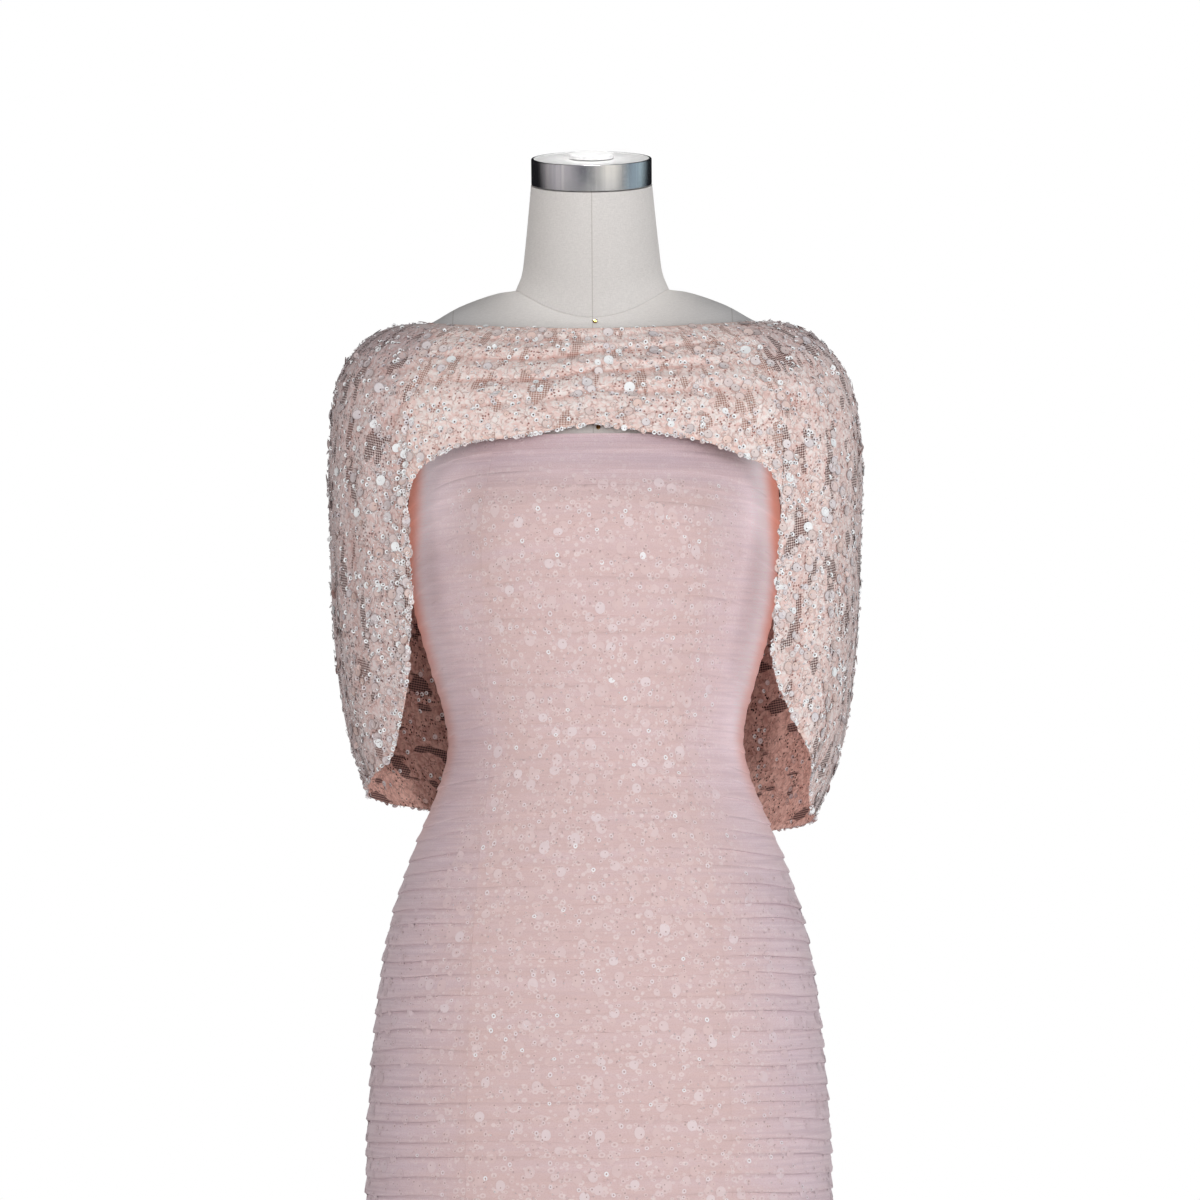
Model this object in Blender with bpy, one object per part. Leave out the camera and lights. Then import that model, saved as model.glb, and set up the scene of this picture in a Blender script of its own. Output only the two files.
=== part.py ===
"""Two-piece evening gown on a limbless dress form, at real size.

Metres, +Z up, the front faces -Y and +X is on the right of a front view. The origin is the middle of the
underside of the stand's base plate, on the floor.

The gown is a strapless, floor-length column of five panels, laid all over in narrow horizontal tucks. The
capelet is a wide band across the upper chest that opens into two falls at the sides and closes behind.
"""

import math

import bmesh
import bpy
from mathutils import Matrix, Vector

# ---------------------------------------------------------------- driving sizes

SEAM_GAP = 0.0003            # left between pieces that meet
CLOTH = 0.0022               # wall of a gown panel at the root of a tuck
TUCK_RISE = 0.0018           # how far a tuck's folded edge stands out
TUCKS = 88                   # tucks between hem and top edge, 14.9 mm apart
TUCK_LEDGE = 0.0018          # height of the step under a folded edge
SKIRT_TUCKS = 48             # tucks below the form, where the inside face has a ring at every sixth
EASE = 0.0007                # the form's skin stays this far inside the cloth

HEM_HEIGHT = 0.025
TOP_HEIGHT = 1.3353          # top edge at the front centre
TOP_DROP_SIDE = 0.023        # how much lower the top edge is at the side seam
TOP_DROP_BACK = 0.058        # and at the centre back
TOP_FLAT = 6                 # power of the facing that keeps the top edge level across the bust
DROP_FADE = 4                # power by which the tucks level out below the top edge

BUST_RISE = 0.007            # soft fullness on each side of the front centre
BUST_ANGLE = math.radians(27)
BUST_SPREAD = math.radians(17)
BUST_HEIGHT = 1.262
BUST_TALL = 0.042

ZIP_WIDTH = 0.0032           # closed concealed zip, seen as a narrow strip between the back panels
ZIP_THICK = 0.0020
ZIP_END = 0.930              # height of the zip's lower end

FORM_END = 0.800             # height where the form's body ends, inside the skirt
FORM_FOOT = ((0.060, 0.020), (0.025, 0.014), (0.007, 0.006))  # its rounded end: drawn in, dropped
CAPELET_CLOTH = 0.0020

CAP_RADIUS = 0.0514          # steel cap on the neck
CAP_HEIGHT = 0.0222
CAP_TILT = math.radians(16.70)  # the neck leans forwards
CAP_CENTRE = (0.0, -0.012, 1.5595)
KNOB_RADIUS = 0.019          # flat knob that closes the cap
KNOB_HEIGHT = 0.004

NAIL_RADIUS = 0.0019
NAIL_HEIGHT = 0.0012
BUST_NAIL_SHARE = 0.40       # the lower nail shows just above the gown's top edge
NECK_NAIL_ASIDE = 0.0022     # both nails are a little to the wearer's left of the centre seam
BUST_NAIL_ASIDE = 0.0042

POLE_RADIUS = 0.016
BASE_RADIUS = 0.155
BASE_THICK = 0.012
HUB_RADIUS = 0.030
HUB_HEIGHT = 0.045

# Outside of the gown, tucks included: half width from the front view, depths from the middle to front and
# back.
GOWN_COLUMNS = ("height", "half_width", "front", "back")
GOWN_SECTIONS = (
    (0.025, 0.2220, 0.176, 0.180),
    (0.240, 0.2080, 0.157, 0.160),
    (0.450, 0.1985, 0.141, 0.144),
    (0.695, 0.1970, 0.126, 0.129),
    (0.745, 0.1965, 0.124, 0.128),
    (0.797, 0.1935, 0.123, 0.129),
    (0.848, 0.1890, 0.122, 0.129),
    (0.899, 0.1825, 0.121, 0.125),
    (0.933, 0.1755, 0.119, 0.117),
    (0.967, 0.1655, 0.115, 0.108),
    (1.001, 0.1530, 0.110, 0.099),
    (1.035, 0.1390, 0.103, 0.090),
    (1.056, 0.1315, 0.099, 0.086),
    (1.083, 0.1265, 0.097, 0.083),
    (1.111, 0.1305, 0.100, 0.085),
    (1.137, 0.1380, 0.105, 0.089),
    (1.171, 0.1480, 0.113, 0.096),
    (1.205, 0.1560, 0.122, 0.103),
    (1.262, 0.1600, 0.133, 0.111),
    (1.300, 0.1585, 0.124, 0.113),
    (1.333, 0.1550, 0.112, 0.112),
)

# The princess seams' angle from the front centre, in degrees.
PRINCESS_COLUMNS = ("height", "angle")
PRINCESS_SEAM = (
    (0.025, 34),
    (0.800, 34),
    (0.950, 36),
    (1.083, 43),
    (1.205, 37),
    (1.333, 32),
)

# Rings of the form above the gown, each a tilted oval through its side, front and back points. Its height
# swings from side to end by this power of the facing: 1 is a flat ring, 2 a saddle.
RING_COLUMNS = ("half_width", "side_z", "front", "front_z", "back", "back_z", "middle_y", "swing")
SHOULDER_RINGS = (
    (0.1505, 1.3450, 0.0990, 1.3620, 0.1110, 1.3250, 0.0, 2.0),
    (0.1550, 1.3750, 0.0865, 1.3880, 0.1090, 1.3700, 0.0, 2.0),
    (0.1630, 1.4000, 0.0735, 1.4090, 0.1010, 1.4050, 0.0, 2.0),
    (0.1695, 1.4180, 0.0640, 1.4220, 0.0880, 1.4320, 0.0, 2.0),
    (0.1685, 1.4285, 0.0600, 1.4265, 0.0810, 1.4440, 0.0, 2.0),
    (0.1580, 1.4352, 0.0575, 1.4290, 0.0750, 1.4530, 0.0, 2.0),
    (0.1380, 1.4427, 0.0545, 1.4315, 0.0690, 1.4630, 0.0, 2.0),
    (0.1140, 1.4562, 0.0515, 1.4350, 0.0620, 1.4740, 0.0, 2.0),
    (0.0850, 1.4668, 0.0498, 1.4378, 0.0580, 1.4805, 0.0, 2.0),
    (0.0655, 1.4700, 0.0480, 1.4405, 0.0540, 1.4870, 0.0, 2.0),
)
NECK_RINGS = (
    (0.0655, 1.4703, 0.0480, 1.4408, 0.0540, 1.4873, 0.000, 2.0),
    (0.0600, 1.4845, 0.0475, 1.4600, 0.0505, 1.5010, -0.002, 1.7),
    (0.0572, 1.5050, 0.0485, 1.4810, 0.0500, 1.5200, -0.005, 1.4),
    (0.0543, 1.5320, 0.0495, 1.5125, 0.0502, 1.5475, -0.009, 1.2),
    (0.0517, 1.5591, 0.0503, 1.5440, 0.0503, 1.5742, -0.012, 1.0),
)

# Inside of the capelet from the neckline (level 0) down, each level an oval like the form's rings.
CAPELET_LEVELS = (
    (0.1425, 1.4418, 0.0637, 1.4290, 0.0790, 1.4540, 0.0, 1.7),
    (0.1600, 1.4408, 0.0705, 1.4195, 0.0875, 1.4440, 0.0, 1.9),
    (0.1755, 1.4363, 0.0790, 1.4070, 0.0970, 1.4300, 0.0, 2.0),
    (0.1905, 1.4266, 0.0885, 1.3920, 0.1070, 1.4120, 0.0, 2.0),
    (0.2030, 1.4130, 0.0985, 1.3770, 0.1150, 1.3920, 0.0, 2.0),
    (0.2130, 1.3965, 0.1075, 1.3610, 0.1210, 1.3680, 0.0, 2.0),
    (0.2190, 1.3750, 0.1145, 1.3460, 0.1250, 1.3400, 0.0, 2.0),
    (0.2222, 1.3500, 0.1185, 1.3340, 0.1280, 1.3100, 0.0, 2.0),
    (0.2245, 1.3150, 0.1240, 1.3120, 0.1315, 1.2750, 0.0, 2.0),
    (0.2238, 1.2750, 0.1290, 1.2750, 0.1350, 1.2400, 0.0, 2.0),
    (0.2228, 1.2350, 0.1320, 1.2350, 0.1380, 1.2050, 0.0, 2.0),
    (0.2210, 1.1900, 0.1330, 1.1900, 0.1410, 1.1650, 0.0, 2.0),
    (0.2175, 1.1500, 0.1330, 1.1500, 0.1435, 1.1300, 0.0, 2.0),
    (0.2130, 1.1150, 0.1320, 1.1150, 0.1450, 1.0950, 0.0, 2.0),
    (0.2060, 1.0800, 0.1300, 1.0800, 0.1460, 1.0600, 0.0, 2.0),
    (0.1960, 1.0500, 0.1270, 1.0500, 0.1460, 1.0300, 0.0, 2.0),
    (0.1830, 1.0200, 0.1240, 1.0200, 0.1450, 1.0000, 0.0, 2.0),
    (0.1700, 0.9900, 0.1200, 0.9900, 0.1440, 0.9700, 0.0, 2.0),
)

# Lower edge of the capelet from the front centre to the back centre. A thread of the cloth runs from the
# neckline at neck_angle to the edge at edge_angle (degrees), where it reaches edge_level.
EDGE_COLUMNS = ("neck_angle", "edge_angle", "edge_level")
EDGE_LEFT = (
    (0, 0.0, 6.30), (12, 13.0, 7.07), (24, 25.5, 7.38), (33, 35.0, 7.83), (39, 41.0, 8.30),
    (44, 43.9, 8.95), (48, 43.6, 9.90), (52, 43.0, 10.80), (56, 44.3, 11.60), (60, 46.3, 12.70),
    (65, 50.6, 13.60), (71, 57.4, 14.45), (79, 72.0, 14.90), (90, 90.0, 15.10),
    (110, 110.0, 15.38), (140, 140.0, 15.42), (180, 180.0, 15.65),
)
EDGE_RIGHT = (
    (0, 0.0, 6.30), (12, 12.0, 6.97), (23, 22.9, 7.38), (31, 32.3, 7.85), (38, 40.5, 8.25),
    (43, 44.6, 9.05), (47, 45.2, 9.80), (51, 44.2, 10.65), (55, 42.0, 11.75), (60, 44.0, 12.57),
    (66, 51.5, 13.50), (72, 60.0, 14.45), (80, 72.7, 15.75), (90, 90.0, 15.95),
    (110, 110.0, 16.15), (140, 140.0, 16.10), (180, 180.0, 15.65),
)
SIDE_SEAM_ROW = 13           # the row of both tables where the capelet's front meets its back
THREADS_PER_ROW_FRONT = 1    # mesh columns between two rows of the tables, in the front and the back
THREADS_PER_ROW_BACK = 4
CAPELET_ROWS = 16

GATHERS = 5.5                # soft folds across the band, between the neckline and its lower edge
GATHER_RISE = 0.0016
GATHER_REACH = math.radians(48)  # they fade this far round from the front centre
GATHER_FADE = 0.87           # and at this share of the way down
GATHER_SWAY = 2.0            # how unevenly they run, as a phase in radians
FLUTE_FULL_LEVEL = 8         # flutes grow down to this level

# Soft flutes down the falls and the back: where they reach the hem, half as wide as spread, degrees.
# Columns: edge_angle, spread, rise.
FLUTES = (
    (-158, 11, 0.0050), (-131, 10, -0.0045), (-108, 9, 0.0045), (-84, 8, -0.0035), (-62, 7, 0.0040),
    (60, 7, 0.0035), (82, 8, -0.0040), (104, 9, 0.0050), (129, 10, -0.0045), (155, 11, 0.0050),
)

# Panels of the gown: name, the seams that bound it and how many mesh columns it has.
PANELS = (
    ("gown_front_centre", "princess_left", "princess_right", 4),
    ("gown_front_side_right", "princess_right", "side_right", 3),
    ("gown_back_right", "side_right", "back_centre", 5),
    ("gown_back_left", "back_centre_again", "side_left_again", 5),
    ("gown_front_side_left", "side_left_again", "princess_left_again", 3),
)

# Colour, roughness and metallic value of each finish.
FINISHES = {
    "tulle": ((0.82, 0.66, 0.65), 0.75, 0.0),
    "sequinned_net": ((0.80, 0.66, 0.62), 0.45, 0.0),
    "zip_tape": ((0.80, 0.64, 0.62), 0.60, 0.0),
    "linen": ((0.66, 0.63, 0.59), 0.85, 0.0),
    "brushed_steel": ((0.55, 0.55, 0.57), 0.30, 1.0),
    "white_knob": ((0.86, 0.86, 0.85), 0.40, 0.0),
    "brass": ((0.62, 0.45, 0.20), 0.30, 1.0),
    "stand_paint": ((0.10, 0.10, 0.11), 0.50, 0.0),
}


# ---------------------------------------------------------------- tables and curves

def column(table, columns, name):
    """One named column of a table."""
    place = columns.index(name)
    return [row[place] for row in table]


def smooth(stations, values, at):
    """The value at a station, on a smooth curve through all the given ones."""
    last = len(stations) - 1
    at = min(max(at, stations[0]), stations[last])
    low = max(i for i in range(last) if stations[i] <= at)
    span = stations[low + 1] - stations[low]

    def slope(i):
        before, after = max(i - 1, 0), min(i + 1, last)
        return (values[after] - values[before]) / (stations[after] - stations[before])

    t = (at - stations[low]) / span
    start, end = values[low], values[low + 1]
    return (
        start * (1 + 2 * t) * (1 - t) ** 2
        + slope(low) * span * t * (1 - t) ** 2
        + end * t * t * (3 - 2 * t)
        - slope(low + 1) * span * t * t * (1 - t)
    )


def bell(distance, spread):
    return math.exp(-((distance / spread) ** 2))


def look_up(table, columns, at):
    """Every other column of a table, read at a value of its first one."""
    stations = column(table, columns, columns[0])
    return [smooth(stations, column(table, columns, name), at) for name in columns[1:]]


# ---------------------------------------------------------------- the body and the gown's surface

def gown_point(angle, height, out):
    """A point at an angle from the front centre, moved out from the inside face of the gown's cloth."""
    half_width, front, back = look_up(GOWN_SECTIONS, GOWN_COLUMNS, height)
    depth = front if math.cos(angle) > 0 else back
    outer = Vector((half_width * math.sin(angle), -depth * math.cos(angle), height))
    square = Vector((outer.x / half_width**2, outer.y / depth**2, 0)).normalized()
    fullness = BUST_RISE * bell(abs(angle) - BUST_ANGLE, BUST_SPREAD) * bell(height - BUST_HEIGHT, BUST_TALL)
    return outer + square * (fullness + out - CLOTH - TUCK_RISE)


def level_height(level):
    """Height of a level of the gown at the front centre: 0 is the hem and 1 the top edge."""
    return HEM_HEIGHT + level * (TOP_HEIGHT - HEM_HEIGHT)


def tilted_height(level, angle):
    """Height of that level at an angle: the top edge is level in front and dips to the sides and back."""
    side = math.sin(angle) ** (2 if math.cos(angle) < 0 else TOP_FLAT)
    back = (1 - side) if math.cos(angle) < 0 else 0
    return level_height(level) - (TOP_DROP_SIDE * side + TOP_DROP_BACK * back) * level**DROP_FADE


def seam_angle(seam, level):
    """Angle of a seam at a level, from the front centre towards +X, running on past half a turn."""
    princess = math.radians(look_up(PRINCESS_SEAM, PRINCESS_COLUMNS, level_height(level))[0])
    return {
        "princess_left": -princess,
        "princess_right": princess,
        "side_right": math.pi / 2,
        "back_centre": math.pi,
        "back_centre_again": math.pi,
        "side_left_again": 3 * math.pi / 2,
        "princess_left_again": 2 * math.pi - princess,
    }[seam]


def panel_angles(panel, level):
    _, first, last, columns = panel
    start, end = seam_angle(first, level), seam_angle(last, level)
    return [start + (end - start) * i / columns for i in range(columns + 1)]


def half_gap(seam, level):
    """Half of the space between the two panels that meet at a seam."""
    if seam.startswith("back_centre") and level_height(level) > ZIP_END:
        return ZIP_WIDTH / 2 + SEAM_GAP
    return SEAM_GAP / 2


def panel_row(panel, level, out):
    """Points of a panel across one level, its first and last drawn back from their seams."""
    angles = panel_angles(panel, level)
    row = [gown_point(wrapped(a), tilted_height(level, a), out) for a in angles]
    for end, beside, seam in ((0, 1, panel[1]), (-1, -2, panel[2])):
        along = row[beside] - row[end]
        along.z = 0
        row[end] = row[end] + along.normalized() * half_gap(seam, level)
    return row


def wrapped(angle):
    """The same angle between minus half a turn and half a turn."""
    return math.atan2(math.sin(angle), math.cos(angle))


def tuck_profile():
    """(level, out) of each ring of the gown's outside, from hem to top: a shingle for each tuck."""
    ledge = TUCK_LEDGE / (TOP_HEIGHT - HEM_HEIGHT)
    rings = []
    for tuck in range(TUCKS):
        lower, upper = tuck_level(tuck), tuck_level(tuck + 1)
        rings.append((lower, CLOTH + TUCK_RISE * fold_share(lower)))
        rings.append((upper - ledge, CLOTH))
    return rings + [(1.0, CLOTH)]


def tuck_level(tuck):
    """Level of a tuck's folded edge. Hand-laid tucks aren't quite even."""
    uneven = 0.10 * math.sin(2.4 * tuck) if 0 < tuck < TUCKS else 0
    return (tuck + uneven) / TUCKS


def fold_share(level):
    """The tucks stand out fully over the hips and less over the bodice."""
    return 1.0 - 0.35 * min(max((level - 0.75) / 0.2, 0), 1)


def form_levels():
    """Levels where the plain inside face of the cloth and the form's skin have their rings."""
    tucks = [tuck for tuck in range(SKIRT_TUCKS, TUCKS + 1, 2) if level_height(tuck / TUCKS) > FORM_END]
    return [tuck_level(tuck) for tuck in tucks]


# ---------------------------------------------------------------- meshes

def clear_scene():
    for thing in list(bpy.data.objects):
        bpy.data.objects.remove(thing)


def finish_material(name):
    material = bpy.data.materials.get(name)
    if material is None:
        colour, roughness, metallic = FINISHES[name]
        material = bpy.data.materials.new(name)
        material.use_nodes = True
        shader = material.node_tree.nodes["Principled BSDF"]
        shader.inputs["Base Color"].default_value = (*colour, 1)
        shader.inputs["Roughness"].default_value = roughness
        shader.inputs["Metallic"].default_value = metallic
        material.diffuse_color = (*colour, 1)
    return material


def mesh_object(name, shape, finish, sharp_angle=40):
    """The object of a finished bmesh, with its finish and soft shading."""
    mesh = bpy.data.meshes.new(name)
    shape.to_mesh(mesh)
    shape.free()
    mesh.shade_smooth()
    mesh.set_sharp_from_angle(angle=math.radians(sharp_angle))
    mesh.materials.append(finish_material(finish))
    made = bpy.data.objects.new(name, mesh)
    bpy.context.scene.collection.objects.link(made)
    return made


def add_rows(shape, rows):
    return [[shape.verts.new(point) for point in row] for row in rows]


def skin(shape, rows, flip=False):
    """Quads between neighbouring rows of the same length."""
    for low, high in zip(rows, rows[1:]):
        for i in range(len(low) - 1):
            face = [low[i], low[i + 1], high[i + 1], high[i]]
            shape.faces.new([face[0], *face[:0:-1]] if flip else face)


def lace(shape, fine, fine_stations, wide, wide_stations, flip):
    """Triangles between two lines of points. The wide line steps on as the fine one reaches its station."""
    i = j = 0
    while i < len(fine) - 1 or j < len(wide) - 1:
        wide_done, fine_done = j == len(wide) - 1, i == len(fine) - 1
        if wide_done or (not fine_done and fine_stations[i + 1] <= wide_stations[j + 1]):
            face = [fine[i], fine[i + 1], wide[j]]
            i += 1
        else:
            face = [fine[i], wide[j + 1], wide[j]]
            j += 1
        shape.faces.new(face[::-1] if flip else face)


def close_rings(shape, rings):
    """A skin round closed rings, with a point in the middle of the first and last to cap them."""
    for low, high in zip(rings, rings[1:]):
        for i in range(len(low)):
            shape.faces.new([low[i - 1], low[i], high[i], high[i - 1]])
    for ring, turn in ((rings[0], -1), (rings[-1], 1)):
        middle = shape.verts.new(sum((v.co for v in ring), Vector()) / len(ring))
        for i in range(len(ring)):
            shape.faces.new([ring[i - 1], ring[i], middle][::turn])


# ---------------------------------------------------------------- the gown

def build_panel(panel):
    """One panel: tucks raised in the outside, a plain inside, and rims at its seams, top and hem."""
    shape = bmesh.new()
    outer = add_rows(shape, [panel_row(panel, level, out) for level, out in tuck_profile()])
    seam_tucks = list(range(0, TUCKS + 1, 2))
    skirt_tucks = list(range(0, SKIRT_TUCKS + 1, 6))
    inner = {}
    for tuck in seam_tucks:
        row = panel_row(panel, tuck_level(tuck), 0)
        whole = tuck in skirt_tucks or tuck > SKIRT_TUCKS
        inner[tuck] = [shape.verts.new(point) for point in (row if whole else (row[0], row[-1]))]
    skirt = [inner[tuck] for tuck in skirt_tucks]
    bodice = [inner[tuck] for tuck in seam_tucks if tuck >= SKIRT_TUCKS]
    skin(shape, outer)
    skin(shape, bodice, flip=True)
    skin(shape, [row[1:-1] for row in skirt], flip=True)
    skin(shape, [inner[0], outer[0]])
    skin(shape, [outer[-1], inner[TUCKS]])
    below = [tuck for tuck in seam_tucks if tuck <= SKIRT_TUCKS]
    for side, beside, flip in ((0, 1, False), (-1, -2, True)):
        seam = [inner[tuck][side] for tuck in seam_tucks]
        lace(shape, seam[: len(below)], below, [row[beside] for row in skirt], skirt_tucks, flip)
        rings = list(range(len(outer)))
        first_ledges = [4 * i - 3 for i in range(len(seam))]
        lace(shape, [row[side] for row in outer], rings, seam, first_ledges, flip)
    return mesh_object(panel[0], shape, "tulle", 30)


def build_zip():
    """The closed zip between the back panels, from the top edge down to the hips."""
    shape = bmesh.new()
    levels = [level for level in form_levels() if level_height(level) > ZIP_END]
    rings = []
    for level in levels:
        height = tilted_height(level, math.pi)
        near = gown_point(math.pi, height, SEAM_GAP)
        far = gown_point(math.pi, height, ZIP_THICK)
        half = Vector((ZIP_WIDTH / 2, 0, 0))
        rings.append([near + half, far + half, far - half, near - half])
    close_rings(shape, add_rows(shape, rings))
    return mesh_object("gown_back_zip", shape, "zip_tape")


def build_gown():
    for panel in PANELS:
        build_panel(panel)
    build_zip()


# ---------------------------------------------------------------- the capelet

def ring_point(ring, angle, out=0.0):
    """A point of a tilted oval given by its side, front and back points."""
    half_width, side_z, front, front_z, back, back_z, middle_y, swing = ring
    facing = math.cos(angle)
    depth, end_z = (front, front_z) if facing > 0 else (back, back_z)
    point = Vector((half_width * math.sin(angle), -depth * facing, 0))
    square = Vector((point.x / half_width**2, point.y / depth**2, 0)).normalized()
    point += square * out
    point.y += middle_y
    point.z = side_z + (end_z - side_z) * abs(facing) ** swing
    return point


def capelet_ring(level):
    levels = list(range(len(CAPELET_LEVELS)))
    return [smooth(levels, column(CAPELET_LEVELS, RING_COLUMNS, name), level) for name in RING_COLUMNS]


def thread(edge_table, at):
    """(neck angle, edge angle, edge level) of one thread, read between the rows of an edge table."""
    rows = list(range(len(edge_table)))
    neck, edge, level = (smooth(rows, column(edge_table, EDGE_COLUMNS, name), at) for name in EDGE_COLUMNS)
    return math.radians(neck), math.radians(edge), level


def capelet_inside(side, at, down):
    """The capelet's inside, a share down a thread from neckline to edge. Side is -1 or 1."""
    if at < 0:
        side, at = -side, -at
    last = len(EDGE_LEFT) - 1
    if at > last:
        side, at = -side, 2 * last - at
    neck_angle, edge_angle, edge_level = thread(EDGE_LEFT if side < 0 else EDGE_RIGHT, at)
    angle = side * (neck_angle + (edge_angle - neck_angle) * math.sqrt(max(down, 0)))
    level = edge_level * down
    band = bell(edge_angle, GATHER_REACH) * math.sin(math.pi * min(max(down / GATHER_FADE, 0), 1))
    sway = GATHER_SWAY * math.sin(3 * angle)
    out = GATHER_RISE * band * (1 + math.sin(2 * math.pi * GATHERS * down + sway))
    for flute_angle, spread, rise in FLUTES:
        away = side * math.degrees(edge_angle) - flute_angle
        out += rise * bell(away, spread) * down**2 * min(level / FLUTE_FULL_LEVEL, 1)
    return ring_point(capelet_ring(level), angle, out)


def capelet_normal(side, at, down):
    """Outward direction of the capelet's surface, across the thread and along it."""
    step = 0.02
    beside = capelet_inside(side, at + step * 4, down) - capelet_inside(side, at - step * 4, down)
    along = capelet_inside(side, at, min(down + step, 1)) - capelet_inside(side, at, max(down - step, 0.001))
    return (along.cross(beside) * side).normalized()


def build_capelet_panel(name, first_row, last_row, per_row):
    """Front or back of the capelet: its inside and its outside face along the same threads."""
    count = (last_row - first_row) * per_row
    half = [first_row + i / per_row for i in range(count + 1)]
    if first_row == 0:
        run = [(-1, at) for at in half[:0:-1]] + [(1, at) for at in half]
    else:
        run = [(1, at) for at in half] + [(-1, at) for at in half[-2::-1]]
    inner, outer = [], []
    for row in range(CAPELET_ROWS, -1, -1):
        down = row / CAPELET_ROWS
        line = [capelet_inside(side, at, down) for side, at in run]
        walls = [capelet_normal(side, at, down) * CAPELET_CLOTH for side, at in run]
        for end, beside in ((0, 1), (-1, -2)):
            line[end] = line[end] + (line[beside] - line[end]).normalized() * (SEAM_GAP / 2)
        inner.append(line)
        outer.append([point + wall for point, wall in zip(line, walls)])
    shape = bmesh.new()
    inner, outer = add_rows(shape, inner), add_rows(shape, outer)
    skin(shape, outer)
    skin(shape, inner, flip=True)
    skin(shape, [inner[0], outer[0]])
    skin(shape, [outer[-1], inner[-1]])
    skin(shape, [[row[0] for row in side] for side in (inner, outer)], flip=True)
    skin(shape, [[row[-1] for row in side] for side in (inner, outer)])
    return mesh_object(name, shape, "sequinned_net", 60)


def build_capelet():
    build_capelet_panel("capelet_front", 0, SIDE_SEAM_ROW, THREADS_PER_ROW_FRONT)
    build_capelet_panel("capelet_back", SIDE_SEAM_ROW, len(EDGE_LEFT) - 1, THREADS_PER_ROW_BACK)


# ---------------------------------------------------------------- the dress form and its stand

def form_angles(level):
    """The angles of the gown's mesh columns, once round, so that form and cloth run side by side."""
    angles = []
    for panel in PANELS:
        angles += [wrapped(a) for a in panel_angles(panel, level)[:-1]]
    return angles


def build_form_body():
    """Torso from inside the skirt up to the neck seam, a closed and rounded solid."""
    rings = []
    close = form_levels()
    for drawn_in, drop in FORM_FOOT:
        rings.append([
            gown_point(a, level_height(close[0]), -EASE - drawn_in) - Vector((0, 0, drop))
            for a in form_angles(close[0])
        ])
    for level in close:
        rings.append([gown_point(a, tilted_height(level, a), -EASE) for a in form_angles(level)])
    for ring in SHOULDER_RINGS:
        rings.append([ring_point(ring, a) for a in form_angles(1.0)])
    shape = bmesh.new()
    close_rings(shape, add_rows(shape, rings))
    return mesh_object("form_body", shape, "linen")


def build_form_neck():
    shape = bmesh.new()
    rings = [[ring_point(ring, a) for a in form_angles(1.0)] for ring in NECK_RINGS]
    close_rings(shape, add_rows(shape, rings))
    return mesh_object("form_neck", shape, "linen")


def build_disc(name, radius, height, place, finish, sides=32, bevel=0.0, frame=None):
    """A turned disc or rod standing on place, along frame's Z axis."""
    shape = bmesh.new()
    lift = Matrix.Translation((0, 0, height / 2))
    bmesh.ops.create_cone(
        shape, cap_ends=True, segments=sides, radius1=radius, radius2=radius, depth=height, matrix=lift
    )
    if bevel:
        top_edges = [e for e in shape.edges if all(v.co.z > height - 1e-6 for v in e.verts)]
        bmesh.ops.bevel(shape, geom=top_edges, offset=bevel, segments=2, profile=0.5, affect="EDGES")
    turn = frame.to_4x4() if frame else Matrix.Identity(4)
    shape.transform(Matrix.Translation(place) @ turn)
    return mesh_object(name, shape, finish)


def build_neck_cap():
    """The steel cap, square to the leaning neck, and the flat knob on top of it."""
    frame = Matrix.Rotation(CAP_TILT, 3, "X")
    up = frame @ Vector((0, 0, 1))
    foot = Vector(CAP_CENTRE) + up * SEAM_GAP
    build_disc("form_neck_cap", CAP_RADIUS, CAP_HEIGHT, foot, "brushed_steel", 40, 0.0015, frame)
    knob = foot + up * (CAP_HEIGHT + SEAM_GAP)
    build_disc("form_knob", KNOB_RADIUS, KNOB_HEIGHT, knob, "white_knob", 24, 0.0012, frame)


def build_nail(name, lower, upper, aside):
    """A brass nail head half way between two points on the form's front, square to the form."""
    along = (upper - lower).normalized()
    out = Vector((1, 0, 0)).cross(along)
    out = -out if out.y > 0 else out
    frame = out.to_track_quat("Z", "Y").to_matrix()
    place = (lower + upper) / 2 + out * SEAM_GAP + Vector((aside, 0, 0))
    build_disc(name, NAIL_RADIUS, NAIL_HEIGHT, place, "brass", 8, 0.0004, frame)


def build_nails():
    top_edge = gown_point(0.0, tilted_height(1.0, 0.0), -EASE)
    chain = [top_edge, *(ring_point(ring, 0.0) for ring in SHOULDER_RINGS)]
    bust_point = chain[0] + (chain[1] - chain[0]) * BUST_NAIL_SHARE
    build_nail("form_nail_bust", chain[0], bust_point, BUST_NAIL_ASIDE)
    build_nail("form_nail_neck", chain[-3], chain[-2], NECK_NAIL_ASIDE)


def build_stand():
    """Pole and round base, both hidden by the skirt."""
    build_disc("stand_base", BASE_RADIUS, BASE_THICK, (0, 0, 0), "stand_paint", 36, 0.003)
    foot = BASE_THICK + SEAM_GAP
    build_disc("stand_hub", HUB_RADIUS, HUB_HEIGHT, (0, 0, foot), "stand_paint", 24, 0.004)
    pole_foot = foot + HUB_HEIGHT + SEAM_GAP
    underside = min(v.co.z for v in bpy.data.objects["form_body"].data.vertices)
    length = underside - SEAM_GAP - pole_foot
    build_disc("stand_pole", POLE_RADIUS, length, (0, 0, pole_foot), "brushed_steel", 20)


def build_form():
    build_form_body()
    build_form_neck()
    build_neck_cap()
    build_nails()
    build_stand()


clear_scene()
build_gown()
build_capelet()
build_form()
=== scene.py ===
"""Looks of the two-piece evening gown on its dress form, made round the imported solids, in metres.

+Z is up, the front faces -Y and +X is on the right of a front view.
"""

import math

import bmesh
import bpy
import numpy as np
from mathutils import Matrix, Quaternion, Vector


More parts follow.
